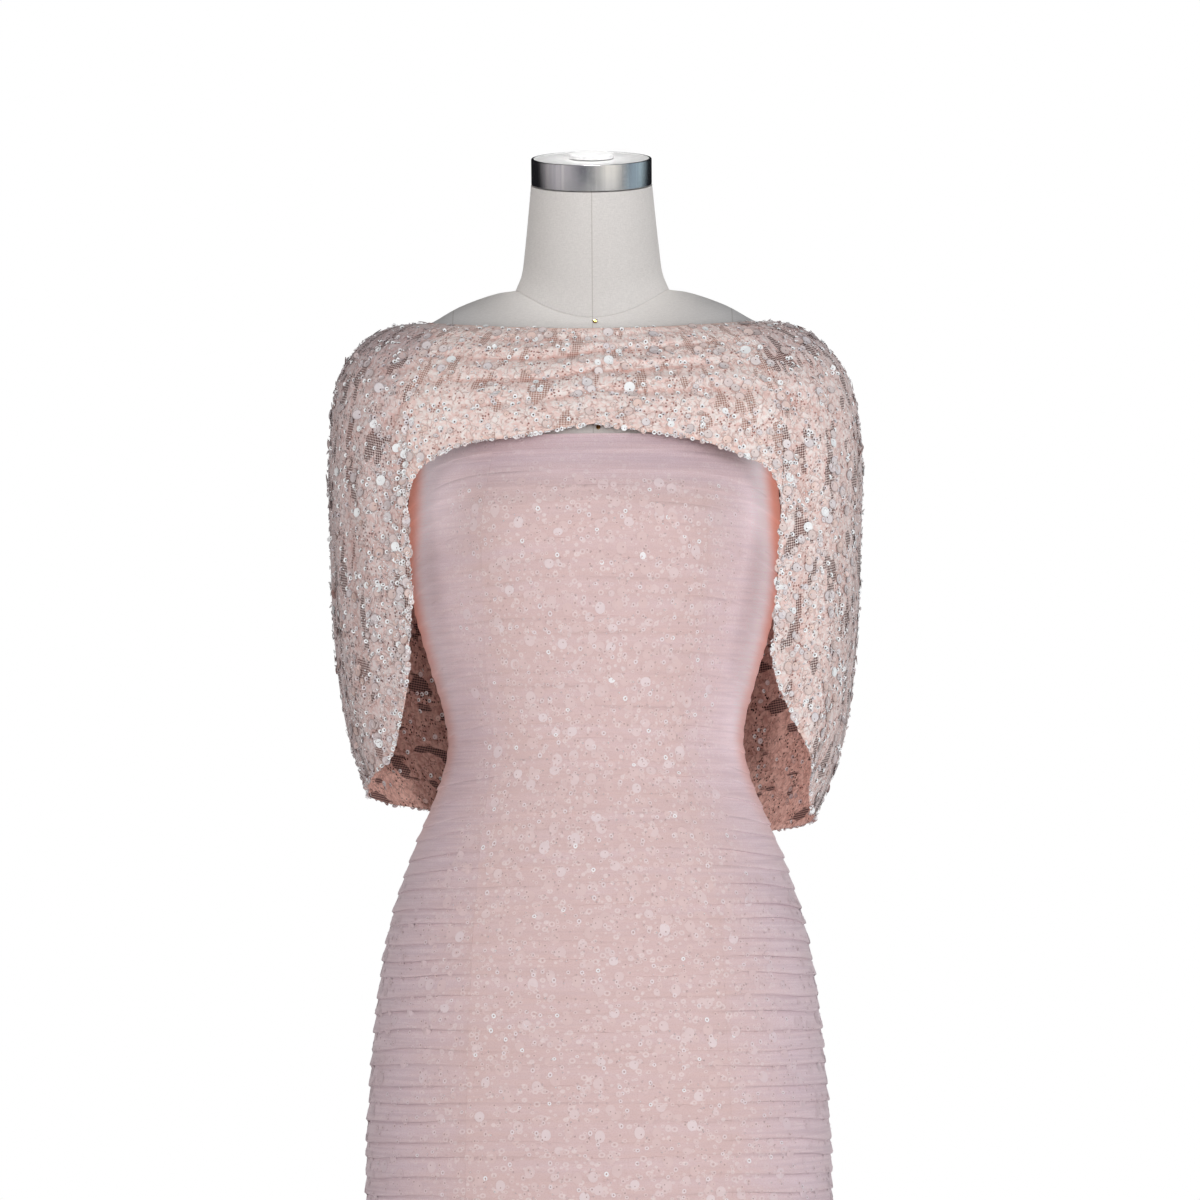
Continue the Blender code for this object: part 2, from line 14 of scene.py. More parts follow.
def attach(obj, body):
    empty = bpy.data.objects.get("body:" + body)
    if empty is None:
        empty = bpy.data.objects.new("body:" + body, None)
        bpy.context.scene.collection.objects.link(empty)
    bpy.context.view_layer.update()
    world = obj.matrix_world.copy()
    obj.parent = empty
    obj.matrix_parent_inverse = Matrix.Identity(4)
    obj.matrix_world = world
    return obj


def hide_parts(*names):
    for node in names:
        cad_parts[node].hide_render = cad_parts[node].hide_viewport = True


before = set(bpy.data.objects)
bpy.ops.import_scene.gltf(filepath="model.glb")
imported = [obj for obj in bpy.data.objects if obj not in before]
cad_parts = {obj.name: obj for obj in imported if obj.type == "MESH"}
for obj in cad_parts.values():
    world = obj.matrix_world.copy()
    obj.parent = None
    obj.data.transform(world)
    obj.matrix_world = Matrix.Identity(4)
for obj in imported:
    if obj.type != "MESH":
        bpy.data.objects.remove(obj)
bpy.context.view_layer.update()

# ---------------------------------------------------------------- sizes shared with the solids

SEAM_GAP = 0.0003
CLOTH = 0.0022
TUCK_RISE = 0.0018
TUCKS = 88
EASE = 0.0007
HEM_HEIGHT = 0.025
TOP_HEIGHT = 1.3353
GOWN_TALL = TOP_HEIGHT - HEM_HEIGHT
TOP_DROP_SIDE = 0.023
TOP_DROP_BACK = 0.058
TOP_FLAT = 6
DROP_FADE = 4
BUST_RISE = 0.007
BUST_ANGLE = math.radians(27)
BUST_SPREAD = math.radians(17)
BUST_HEIGHT = 1.262
BUST_TALL = 0.042
ZIP_WIDTH = 0.0032
ZIP_END = 0.930
CAPELET_CLOTH = 0.0020
CAP_RADIUS = 0.0514
CAP_HEIGHT = 0.0222
CAP_TILT = math.radians(16.70)
CAP_CENTRE = (0.0, -0.012, 1.5595)

# Outside of the gown: height, half width, depth to the front, depth to the back.
GOWN_SECTIONS = (
    (0.025, 0.2220, 0.176, 0.180),
    (0.240, 0.2080, 0.157, 0.160),
    (0.450, 0.1985, 0.141, 0.144),
    (0.695, 0.1970, 0.126, 0.129),
    (0.745, 0.1965, 0.124, 0.128),
    (0.797, 0.1935, 0.123, 0.129),
    (0.848, 0.1890, 0.122, 0.129),
    (0.899, 0.1825, 0.121, 0.125),
    (0.933, 0.1755, 0.119, 0.117),
    (0.967, 0.1655, 0.115, 0.108),
    (1.001, 0.1530, 0.110, 0.099),
    (1.035, 0.1390, 0.103, 0.090),
    (1.056, 0.1315, 0.099, 0.086),
    (1.083, 0.1265, 0.097, 0.083),
    (1.111, 0.1305, 0.100, 0.085),
    (1.137, 0.1380, 0.105, 0.089),
    (1.171, 0.1480, 0.113, 0.096),
    (1.205, 0.1560, 0.122, 0.103),
    (1.262, 0.1600, 0.133, 0.111),
    (1.300, 0.1585, 0.124, 0.113),
    (1.333, 0.1550, 0.112, 0.112),
)
# Height and angle, in degrees, of the princess seams.
PRINCESS_SEAM = ((0.025, 34), (0.800, 34), (0.950, 36), (1.083, 43), (1.205, 37), (1.333, 32))

# Ovals of the form and of the capelet's inside: half width, height at the side, depth and height in front,
# depth and height behind, Y of the middle, and the power by which the height swings from side to end.
SHOULDER_RINGS = (
    (0.1505, 1.3450, 0.0990, 1.3620, 0.1110, 1.3250, 0.0, 2.0),
    (0.1550, 1.3750, 0.0865, 1.3880, 0.1090, 1.3700, 0.0, 2.0),
    (0.1630, 1.4000, 0.0735, 1.4090, 0.1010, 1.4050, 0.0, 2.0),
    (0.1695, 1.4180, 0.0640, 1.4220, 0.0880, 1.4320, 0.0, 2.0),
    (0.1685, 1.4285, 0.0600, 1.4265, 0.0810, 1.4440, 0.0, 2.0),
    (0.1580, 1.4352, 0.0575, 1.4290, 0.0750, 1.4530, 0.0, 2.0),
    (0.1380, 1.4427, 0.0545, 1.4315, 0.0690, 1.4630, 0.0, 2.0),
    (0.1140, 1.4562, 0.0515, 1.4350, 0.0620, 1.4740, 0.0, 2.0),
    (0.0850, 1.4668, 0.0498, 1.4378, 0.0580, 1.4805, 0.0, 2.0),
    (0.0655, 1.4700, 0.0480, 1.4405, 0.0540, 1.4870, 0.0, 2.0),
)
NECK_RINGS = (
    (0.0655, 1.4703, 0.0480, 1.4408, 0.0540, 1.4873, 0.000, 2.0),
    (0.0600, 1.4845, 0.0475, 1.4600, 0.0505, 1.5010, -0.002, 1.7),
    (0.0572, 1.5050, 0.0485, 1.4810, 0.0500, 1.5200, -0.005, 1.4),
    (0.0543, 1.5320, 0.0495, 1.5125, 0.0502, 1.5475, -0.009, 1.2),
    (0.0517, 1.5591, 0.0503, 1.5440, 0.0503, 1.5742, -0.012, 1.0),
)
CAPELET_LEVELS = (
    (0.1425, 1.4418, 0.0637, 1.4290, 0.0790, 1.4540, 0.0, 1.7),
    (0.1600, 1.4408, 0.0705, 1.4195, 0.0875, 1.4440, 0.0, 1.9),
    (0.1755, 1.4363, 0.0790, 1.4070, 0.0970, 1.4300, 0.0, 2.0),
    (0.1905, 1.4266, 0.0885, 1.3920, 0.1070, 1.4120, 0.0, 2.0),
    (0.2030, 1.4130, 0.0985, 1.3770, 0.1150, 1.3920, 0.0, 2.0),
    (0.2130, 1.3965, 0.1075, 1.3610, 0.1210, 1.3680, 0.0, 2.0),
    (0.2190, 1.3750, 0.1145, 1.3460, 0.1250, 1.3400, 0.0, 2.0),
    (0.2222, 1.3500, 0.1185, 1.3340, 0.1280, 1.3100, 0.0, 2.0),
    (0.2245, 1.3150, 0.1240, 1.3120, 0.1315, 1.2750, 0.0, 2.0),
    (0.2238, 1.2750, 0.1290, 1.2750, 0.1350, 1.2400, 0.0, 2.0),
    (0.2228, 1.2350, 0.1320, 1.2350, 0.1380, 1.2050, 0.0, 2.0),
    (0.2210, 1.1900, 0.1330, 1.1900, 0.1410, 1.1650, 0.0, 2.0),
    (0.2175, 1.1500, 0.1330, 1.1500, 0.1435, 1.1300, 0.0, 2.0),
    (0.2130, 1.1150, 0.1320, 1.1150, 0.1450, 1.0950, 0.0, 2.0),
    (0.2060, 1.0800, 0.1300, 1.0800, 0.1460, 1.0600, 0.0, 2.0),
    (0.1960, 1.0500, 0.1270, 1.0500, 0.1460, 1.0300, 0.0, 2.0),
    (0.1830, 1.0200, 0.1240, 1.0200, 0.1450, 1.0000, 0.0, 2.0),
    (0.1700, 0.9900, 0.1200, 0.9900, 0.1440, 0.9700, 0.0, 2.0),
)
# Threads of the capelet from its front centre round to the back: angle at the neckline and at the lower
# edge, in degrees, and the level of that edge.
EDGE_LEFT = (
    (0, 0.0, 6.30), (12, 13.0, 7.07), (24, 25.5, 7.38), (33, 35.0, 7.83), (39, 41.0, 8.30),
    (44, 43.9, 8.95), (48, 43.6, 9.90), (52, 43.0, 10.80), (56, 44.3, 11.60), (60, 46.3, 12.70),
    (65, 50.6, 13.60), (71, 57.4, 14.45), (79, 72.0, 14.90), (90, 90.0, 15.10),
    (110, 110.0, 15.38), (140, 140.0, 15.42), (180, 180.0, 15.65),
)
EDGE_RIGHT = (
    (0, 0.0, 6.30), (12, 12.0, 6.97), (23, 22.9, 7.38), (31, 32.3, 7.85), (38, 40.5, 8.25),
    (43, 44.6, 9.05), (47, 45.2, 9.80), (51, 44.2, 10.65), (55, 42.0, 11.75), (60, 44.0, 12.57),
    (66, 51.5, 13.50), (72, 60.0, 14.45), (80, 72.7, 15.75), (90, 90.0, 15.95),
    (110, 110.0, 16.15), (140, 140.0, 16.10), (180, 180.0, 15.65),
)
SIDE_SEAM_ROW = 13
BACK_CENTRE_ROW = 16
GATHERS = 5.5
GATHER_RISE = 0.0016
GATHER_REACH = math.radians(48)
GATHER_FADE = 0.87
GATHER_SWAY = 2.0
FLUTE_FULL_LEVEL = 8
FLUTES = (
    (-158, 11, 0.0050), (-131, 10, -0.0045), (-108, 9, 0.0045), (-84, 8, -0.0035), (-62, 7, 0.0040),
    (60, 7, 0.0035), (82, 8, -0.0040), (104, 9, 0.0050), (129, 10, -0.0045), (155, 11, 0.0050),
)

# Panels of the gown: node, seams at both ends, mesh columns, and the width, length and area of the cut.
PANELS = (
    ("gown_front_centre", "princess_left", "princess_right", 44, (0.248, 1.31), 0.280),
    ("gown_front_side_right", "princess_right", "side_right", 26, (0.205, 1.31), 0.185),
    ("gown_back_right", "side_right", "back_centre", 36, (0.32, 1.30), 0.32),
    ("gown_back_left", "back_centre", "side_left", 36, (0.32, 1.30), 0.32),
    ("gown_front_side_left", "side_left", "princess_left_again", 26, (0.205, 1.31), 0.185),
)
# Halves of the capelet: name, node, first and last row, mesh columns to a row, and the cut as above.
CAPELET_HALVES = (
    ("capelet_front_net", "capelet_front", 0, SIDE_SEAM_ROW, 6, (0.80, 0.42), 0.134),
    ("capelet_back_net", "capelet_back", SIDE_SEAM_ROW, BACK_CENTRE_ROW, 26, (0.75, 0.47), 0.253),
)

# ---------------------------------------------------------------- sizes of the looks

# Profile of a tuck from its folded edge up to its root: share of its height, share of its rise.
TUCK_FOLD = ((0.0, 0.30), (0.025, 0.82), (0.09, 1.0), (0.28, 0.86), (0.52, 0.56), (0.78, 0.24), (0.985, 0.0))
TUCK_DROOP = 0.010           # how far the bodice's tucks sink towards the side seams
TUCK_SWAY = 0.0012           # how far any tuck strays from level
TUCK_UNEVEN = 0.10           # how far, in tucks, a tuck's edge is from its even place
TUCK_EDGES = np.array(
    [(t + (TUCK_UNEVEN * math.sin(2.4 * t) if 0 < t < TUCKS else 0)) / TUCKS for t in range(TUCKS + 1)]
)
CLOTH_ROUND = 0.15           # metres of the gown's cloth to a radian, about
VISIBLE_GAP = 0.00004        # seams are drawn closed, because no thread shows in them
CAPELET_ROWS = 110           # mesh rows from the capelet's lower edge up to its neckline
BAND_CREASE = 0.00055        # rise of the fine creases between the band's gathers
NET_SWELL = 0.0030           # how far the net swells where it turns over the upper arms
NET_SUNK = 0.0005            # how far the net's outside lies under the sequins' ground
NET_INSIDE = 0.0011          # and how far its inside does
AROUND = 0.205               # metres of capelet cloth to a radian
CAP_RIM, CAP_GROOVE, CAP_SUNK = 0.0022, 0.0008, 0.0006  # rolled rim of the cap, and the groove inside it
FORM_SIDES = 96
FORM_LOWEST_TUCK = 54        # the form's sides follow the gown's inside from this tuck up
FORM_FOOT = ((0.060, 0.020), (0.025, 0.014), (0.007, 0.006))  # drawn in and dropped by, at its lower end

PAILLETTE = 0.0043           # radii of the big sequins, the middle ones, the small rings and the beads
SPANGLE = 0.0028
RING = 0.0020
BEAD = 0.0009
# Under the tulle: kind, radius, cell's size, share of cells in use, brightest lot, and share drawn pure
# white: white sequins, and painted glints standing in for sparkle.
UNDER_TULLE = (
    ("paillette", PAILLETTE, 0.0170, 0.80, 0.8, 0.007),
    ("spangle", SPANGLE, 0.017, 0.8, 0.6, 0.012),
    ("ring", RING * 0.95, 0.0105, 0.8, 1.0, 0.06),
    ("bead", BEAD * 0.9, 0.0095, 0.8, 1.0, 0.08),
)
UNDER_TULLE_SPREAD = 0.46    # width of cloth over which a panel's places are drawn, before its seams cut it
UNDER_TULLE_ROUND = 0.155    # metres of that cloth to a radian
PROBE = 0.01                 # radians to each side, over which the cloth's real length round is measured
# On the net: kind, radius, number to a square metre, how far they lean and how high they stand.
SEWN_OUTSIDE = (
    ("paillette", PAILLETTE, 1500, 0.13, 0.0007),
    ("spangle", SPANGLE, 2200, 0.15, 0.0005),
    ("ring", RING, 7500, 0.30, 0.0004),
    ("bead", BEAD, 9000, 0.3, 0.0002),
)
SEWN_INSIDE = (("spangle", SPANGLE, 900, 0.15, 0.0005), ("ring", RING, 3500, 0.2, 0.0004))
# Along the lower edge: kind, radius and distance apart.
FRINGE = (("spangle", SPANGLE, 0.0150), ("ring", RING, 0.0060), ("bead", BEAD * 1.25, 0.0026))

ROOM = (0.60, 0.11)          # strength of the room's light from level and from straight above
# Area lamps: name, place, size, power and colour. All face the same point.
LAMPS = (
    ("key", (2.3, -3.2, 1.45), 1.7, 45, (0.96, 1.0, 1.045)),
    ("fill", (-2.2, -3.2, 1.35), 1.8, 20, (1.0, 0.99, 1.0)),
    ("front", (0.1, -4.2, 1.40), 0.8, 26, (1.0, 1.0, 1.0)),
    ("back", (0.4, 3.4, 1.8), 2.4, 26, (1.0, 1.0, 1.0)),
)
LAMPS_FACE = Vector((0, 0, 1.05))
CAP_SPOT_AWAY = 1.2          # a narrow lamp straight over the neck cap lights its white top
CAP_SPOT = {"energy": 74, "spot_size": math.radians(5.6), "spot_blend": 0.35, "shadow_soft_size": 0.05}
# What the steel mirrors: pale cards and a window round a dark room, as degrees round from the camera's side.
DARK, GAP, CARD = (24, 24, 28), (106, 108, 116), (212, 206, 208)
WARM_CARD, WINDOW = (255, 250, 242), (176, 196, 206)
CARDS = (
    (-180, DARK), (-120, DARK), (-75, CARD), (-40, CARD), (-20, GAP), (-4, GAP), (25, WARM_CARD),
    (48, WARM_CARD), (70, GAP), (80, WINDOW), (105, WINDOW), (135, DARK), (180, DARK),
)
# A long lens a little below the bust, rolled by under half a degree, as in the photograph.
LENS = 127.38
CAMERA_PLACE = (0.0045, -3.6, 0.95)
CAMERA_AIM = (0.0045, 0, 1.205)
CAMERA_ROLL = -0.0076


# ---------------------------------------------------------------- curves

def curve(stations, values, at):
    """A smooth curve through the values at the stations, read at many places."""
    s, v = np.asarray(stations, float), np.asarray(values, float)
    at = np.clip(at, s[0], s[-1])
    low = np.clip(np.searchsorted(s, at, side="right") - 1, 0, len(s) - 2)
    before = np.maximum(np.arange(len(s)) - 1, 0)
    after = np.minimum(np.arange(len(s)) + 1, len(s) - 1)
    slope = (v[after] - v[before]) / (s[after] - s[before])
    span = s[low + 1] - s[low]
    t = (at - s[low]) / span
    return (
        v[low] * (1 + 2 * t) * (1 - t) ** 2
        + slope[low] * span * t * (1 - t) ** 2
        + v[low + 1] * t * t * (3 - 2 * t)
        - slope[low + 1] * span * t * t * (1 - t)
    )


def columns(table, at):
    """Every later column of a table, read where its first one is at."""
    table = np.array(table)
    return [curve(table[:, 0], table[:, i], at) for i in range(1, table.shape[1])]


def row_at(table, at):
    """A row between the rows of a table, which count from 0."""
    table = np.array(table)
    return [curve(np.arange(len(table)), table[:, i], at) for i in range(table.shape[1])]


def bell(distance, spread):
    return np.exp(-((distance / spread) ** 2))


def ease_in(value, low, high):
    """0 below low, 1 above high and a soft step between."""
    t = np.clip((value - low) / (high - low), 0, 1)
    return t * t * (3 - 2 * t)


def unit(vectors):
    return vectors / np.maximum(np.linalg.norm(vectors, axis=-1, keepdims=True), 1e-12)


def turn_of(angle):
    """The same angle between -pi and pi."""
    return np.arctan2(np.sin(angle), np.cos(angle))


def oval(angle, half_width, depth, out):
    """X and Y on an oval, moved out across it."""
    x, y = half_width * np.sin(angle), -depth * np.cos(angle)
    square_x, square_y = x / half_width**2, y / depth**2
    length = np.hypot(square_x, square_y)
    return x + square_x / length * out, y + square_y / length * out


# ---------------------------------------------------------------- the gown's surface

def gown_point(angle, height, out):
    """A point of the gown's form, and out from its inside."""
    half_width, front, back = columns(GOWN_SECTIONS, height)
    depth = np.where(np.cos(angle) > 0, front, back)
    turn = np.abs(turn_of(angle))
    full = BUST_RISE * bell(turn - BUST_ANGLE, BUST_SPREAD) * bell(height - BUST_HEIGHT, BUST_TALL)
    x, y = oval(angle, half_width, depth, full + out - CLOTH - TUCK_RISE)
    return np.stack([x, y, height], -1)


def height_at(level):
    """Height of a level, which runs from 0 at the hem to 1 at the top edge."""
    return HEM_HEIGHT + level * GOWN_TALL


def level_of(place):
    """Level of a place, which counts the tucks from the hem."""
    return np.interp(place, np.arange(TUCKS + 1), TUCK_EDGES)


def tilted_height(level, angle):
    """Height of a level round the gown, whose top edge dips at the sides and more at the back."""
    behind = np.cos(angle) < 0
    side = np.where(behind, np.sin(angle) ** 2, np.sin(angle) ** TOP_FLAT)
    drop = TOP_DROP_SIDE * side + np.where(behind, TOP_DROP_BACK * (1 - side), 0)
    return height_at(level) - drop * np.abs(level) ** DROP_FADE


def tuck_sink(angle, level):
    """How far, in levels, a tuck hangs below its place. The bodice's tucks droop towards the sides."""
    free = np.clip(level * 14, 0, 1) * np.clip((1 - level) * 16, 0, 1)
    droop = TUCK_DROOP * ease_in(level, 0.80, 0.93) * np.sin(angle) ** 2
    waves = np.sin(2 * angle + 31 * level) + 0.7 * np.sin(5 * angle - 57 * level + 1)
    waves = waves + 0.4 * np.sin(9 * angle + 83 * level)
    return (droop + TUCK_SWAY * waves) * free / GOWN_TALL


def crispness(angle, level):
    """1 at the side seams, where the tucks lie as crisp pleats, 0 in the middle and low on the bodice."""
    sides = ease_in(np.abs(np.sin(angle)), 0.40, 0.86)
    return sides * (1 - 0.75 * ease_in(level, 0.70, 0.84) * (np.cos(angle) > -0.2))


def tuck_depth(angle, place):
    """How full a tuck is at an angle: hand-laid folds swell and fade, most of all in front."""
    tuck = np.floor(place)
    level = place / TUCKS
    uneven = 1 + 0.30 * np.sin(3.1 * angle + 1.9 * tuck) + 0.22 * np.sin(7.3 * angle - 2.7 * tuck + 2)
    front = 0.42 + 0.58 * crispness(angle, level)
    bodice = 1 - 0.35 * np.clip((level - 0.75) / 0.2, 0, 1)
    band = 1 - 0.7 * ease_in(place, TUCKS - 1.1, TUCKS - 0.2)
    return np.clip(uneven * front * bodice * band, 0, 1.25)


def gown_skin(angle, place, lift=0.0):
    """The tulle's outside: place counts the tucks from the hem, and its fraction runs up a tuck."""
    angle, place = np.broadcast_arrays(np.asarray(angle, float), np.asarray(place, float))
    level = level_of(place)
    level = level - tuck_sink(angle, level)
    shares, rises = np.array(TUCK_FOLD + ((1.0, TUCK_FOLD[0][1]),)).T
    share = place - np.floor(place)
    soft = 0.5 + 0.5 * np.cos(2 * np.pi * (share - 0.12))
    fold = soft + (np.interp(share, shares, rises) - soft) * crispness(angle, level)
    fold = fold * np.clip((TUCKS - place) * 6, 0, 1)
    out = CLOTH + TUCK_RISE * tuck_depth(angle, place) * fold + lift
    return gown_point(angle, tilted_height(level, angle), out)


def seam_angle(seam, level):
    princess = np.radians(columns(PRINCESS_SEAM, height_at(level))[0])
    return {
        "princess_left": -princess,
        "princess_right": princess,
        "side_right": math.pi / 2 + 0 * princess,
        "back_centre": math.pi + 0 * princess,
        "side_left": 1.5 * math.pi + 0 * princess,
        "princess_left_again": 2 * math.pi - princess,
    }[seam]


# ---------------------------------------------------------------- the capelet's surface

def ring_point(ring, angle, out=0.0):
    """A point of a ring, which is an oval whose height swings from side to front and back."""
    half_width, side_z, front, front_z, back, back_z, middle_y, swing = ring
    facing = np.cos(angle)
    x, y = oval(angle, half_width, np.where(facing > 0, front, back), out)
    z = side_z + (np.where(facing > 0, front_z, back_z) - side_z) * np.abs(facing) ** swing
    return np.stack([x, y + middle_y, z + 0 * x], -1)


def capelet_thread(side, at):
    """(angle at the neckline, angle at the edge, level of the edge) of a thread. Side is -1 or 1."""
    neck, edge, level = (
        np.where(side < 0, left, right) for left, right in zip(row_at(EDGE_LEFT, at), row_at(EDGE_RIGHT, at))
    )
    return np.radians(neck), np.radians(edge), level


def folded_back(side, at):
    """Threads past the front or back centre belong to the other side."""
    side = np.where((at < 0) | (at > BACK_CENTRE_ROW), -side, side)
    at = np.where(at < 0, -at, np.where(at > BACK_CENTRE_ROW, 2 * BACK_CENTRE_ROW - at, at))
    return side, at


def capelet_relief(side, at, down):
    """(angle, level, out, crease) of the capelet, with its band's gathers and the flutes of its falls."""
    neck, edge, level_edge = capelet_thread(side, at)
    angle = side * (neck + (edge - neck) * np.sqrt(np.maximum(down, 0)))
    level = level_edge * down
    band = bell(edge, GATHER_REACH) * np.sin(np.pi * np.clip(down / GATHER_FADE, 0, 1))
    wave = 0.5 + 0.5 * np.sin(2 * np.pi * GATHERS * down + GATHER_SWAY * np.sin(3 * angle))
    out = 2 * GATHER_RISE * band * wave**0.6
    # painted shade in the valleys between the band's gathers
    crease_shade = band * np.exp(-wave / 0.10)
    fine = np.sin(2 * np.pi * 12.5 * down + 3.1 * np.sin(2.3 * angle + 1) + 2 * angle)
    out = out + BAND_CREASE * band * fine * (0.6 + 0.4 * np.sin(5 * angle))
    for flute_angle, spread, rise in FLUTES:
        away = side * np.degrees(edge) - flute_angle
        out = out + rise * bell(away, spread) * down**2 * np.clip(level / FLUTE_FULL_LEVEL, 0, 1)
    falls = 1 - bell(edge, math.radians(40))
    narrow = np.sin(21 * edge * side + 1.5 * np.sin(4 * down + side) + 0.8)
    slack = np.sin(9 * down + 4.2 * edge * side)
    out = out + falls * ease_in(down, 0.15, 0.7) * (0.0010 * narrow + 0.0008 * slack * narrow)
    # painted shade in the valleys of the falls' narrow folds
    crease_shade = crease_shade + 0.5 * falls * ease_in(down, 0.2, 0.7) * np.exp(-(1 + narrow) / 0.12)
    return angle, level, out, crease_shade


def capelet_skin(side, at, down, lift=0.0):
    """The capelet's outside, a share down a thread from the neckline to the edge. Side is -1 or 1."""
    side, at, down = np.broadcast_arrays(*(np.asarray(v, float) for v in (side, at, down)))
    side, at = folded_back(side, at)
    angle, level, out, _ = capelet_relief(side, at, down)
    swell = NET_SWELL * bell(level - np.where(side < 0, 3.2, 7.5), 2.6) * ease_in(at, 7, 12)
    return ring_point(row_at(CAPELET_LEVELS, level), angle, out + CAPELET_CLOTH + swell + lift)


# ---------------------------------------------------------------- meshes

def piece(name, points, faces, finishes, smooth_angle=None):
    """A mesh object at the origin, with its finishes, riding on the part's only body."""
    mesh = bpy.data.meshes.new(name)
    mesh.from_pydata([tuple(p) for p in np.asarray(points).tolist()], [], faces)
    mesh.validate()
    for finish in finishes:
        mesh.materials.append(finish)
    made = bpy.data.objects.new(name, mesh)
    bpy.context.scene.collection.objects.link(made)
    mesh.shade_smooth()
    if smooth_angle is not None:
        mesh.set_sharp_from_angle(angle=math.radians(smooth_angle))
    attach(made, "root")
    return made


def paint(made, **layers):
    """Numbers for each point, for the finish to read."""
    for name, values in layers.items():
        attribute = made.data.attributes.new(name, "FLOAT", "POINT")
        attribute.data.foreach_set("value", np.asarray(values, np.float32).ravel())


def lay_out(made, along, down):
    """The piece's UV map, in metres of cloth."""
    layer = made.data.uv_layers.new(name="cloth")
    corners = np.empty(len(made.data.loops), np.int32)
    made.data.loops.foreach_get("vertex_index", corners)
    flat = np.stack([np.asarray(along, float).ravel(), np.asarray(down, float).ravel()], -1)
    layer.data.foreach_set("uv", flat[corners].astype(np.float32).ravel())


def turned(faces, flip=True):
    return [face[::-1] for face in faces] if flip else faces


def grid_faces(rows, cols, start=0, flip=False):
    """Quads of a grid of points, row after row."""
    corners = (start + r * cols + c for r in range(rows - 1) for c in range(cols - 1))
    return turned([(a, a + 1, a + cols + 1, a + cols) for a in corners], flip)


def strip_faces(first, second, flip=False):
    """Quads between two lists of points of the same length."""
    return turned([(a, b, d, c) for a, b, c, d in zip(first, first[1:], second, second[1:])], flip)


def laced_faces(fine, coarse, flip=False):
    """Triangles between a fine line of points and a coarse one."""
    faces, j = [], 0
    for i in range(len(fine) - 1):
        faces.append((fine[i], fine[i + 1], coarse[j]))
        due = round((i + 1) * (len(coarse) - 1) / (len(fine) - 1))
        if due > j:
            faces.append((fine[i + 1], coarse[due], coarse[j]))
            j = due
    return turned(faces, flip)


def end_strips(rows, inner_rows, cols):
    """Quads that close a wall along its first and last rows, between its outside and its inside."""
    below, inner_top = rows * cols, (rows + inner_rows - 1) * cols
    faces = strip_faces(range(below, below + cols), range(cols))
    return faces + strip_faces(range(below - cols, below), range(inner_top, inner_top + cols))


# ---------------------------------------------------------------- finishes

def tone(red, green, blue):
    """A colour named by its screen values, 0 to 255."""
    values = [v / 255 for v in (red, green, blue)]
    return tuple(v / 12.92 if v <= 0.04045 else ((v + 0.055) / 1.055) ** 2.4 for v in values) + (1.0,)


class Nodes:
    """A node tree, put together node by node. Colours are given by their screen values."""

    def __init__(self, tree):
        self.tree = tree

    def feed(self, socket, value):
        if isinstance(value, bpy.types.NodeSocket):
            self.tree.links.new(value, socket)
        else:
            socket.default_value = tone(*value) if socket.type == "RGBA" else value

    def node(self, kind, settings=(), **inputs):
        """A node. Its inputs are given by their names, or by their numbers as i0, i1 and so on."""
        made = self.tree.nodes.new(kind)
        for name, value in dict(settings).items():
            setattr(made, name, value)
        for name, value in inputs.items():
            numbered = name[0] == "i" and name[1:].isdigit()
            self.feed(made.inputs[int(name[1:]) if numbered else name.replace("_", " ")], value)
        return made

    def op(self, operation, first, second=0.0, limited=True):
        settings = {"operation": operation, "use_clamp": limited}
        return self.node("ShaderNodeMath", settings, i0=first, i1=second).outputs[0]

    def times(self, first, second):
        return self.op("MULTIPLY", first, second)


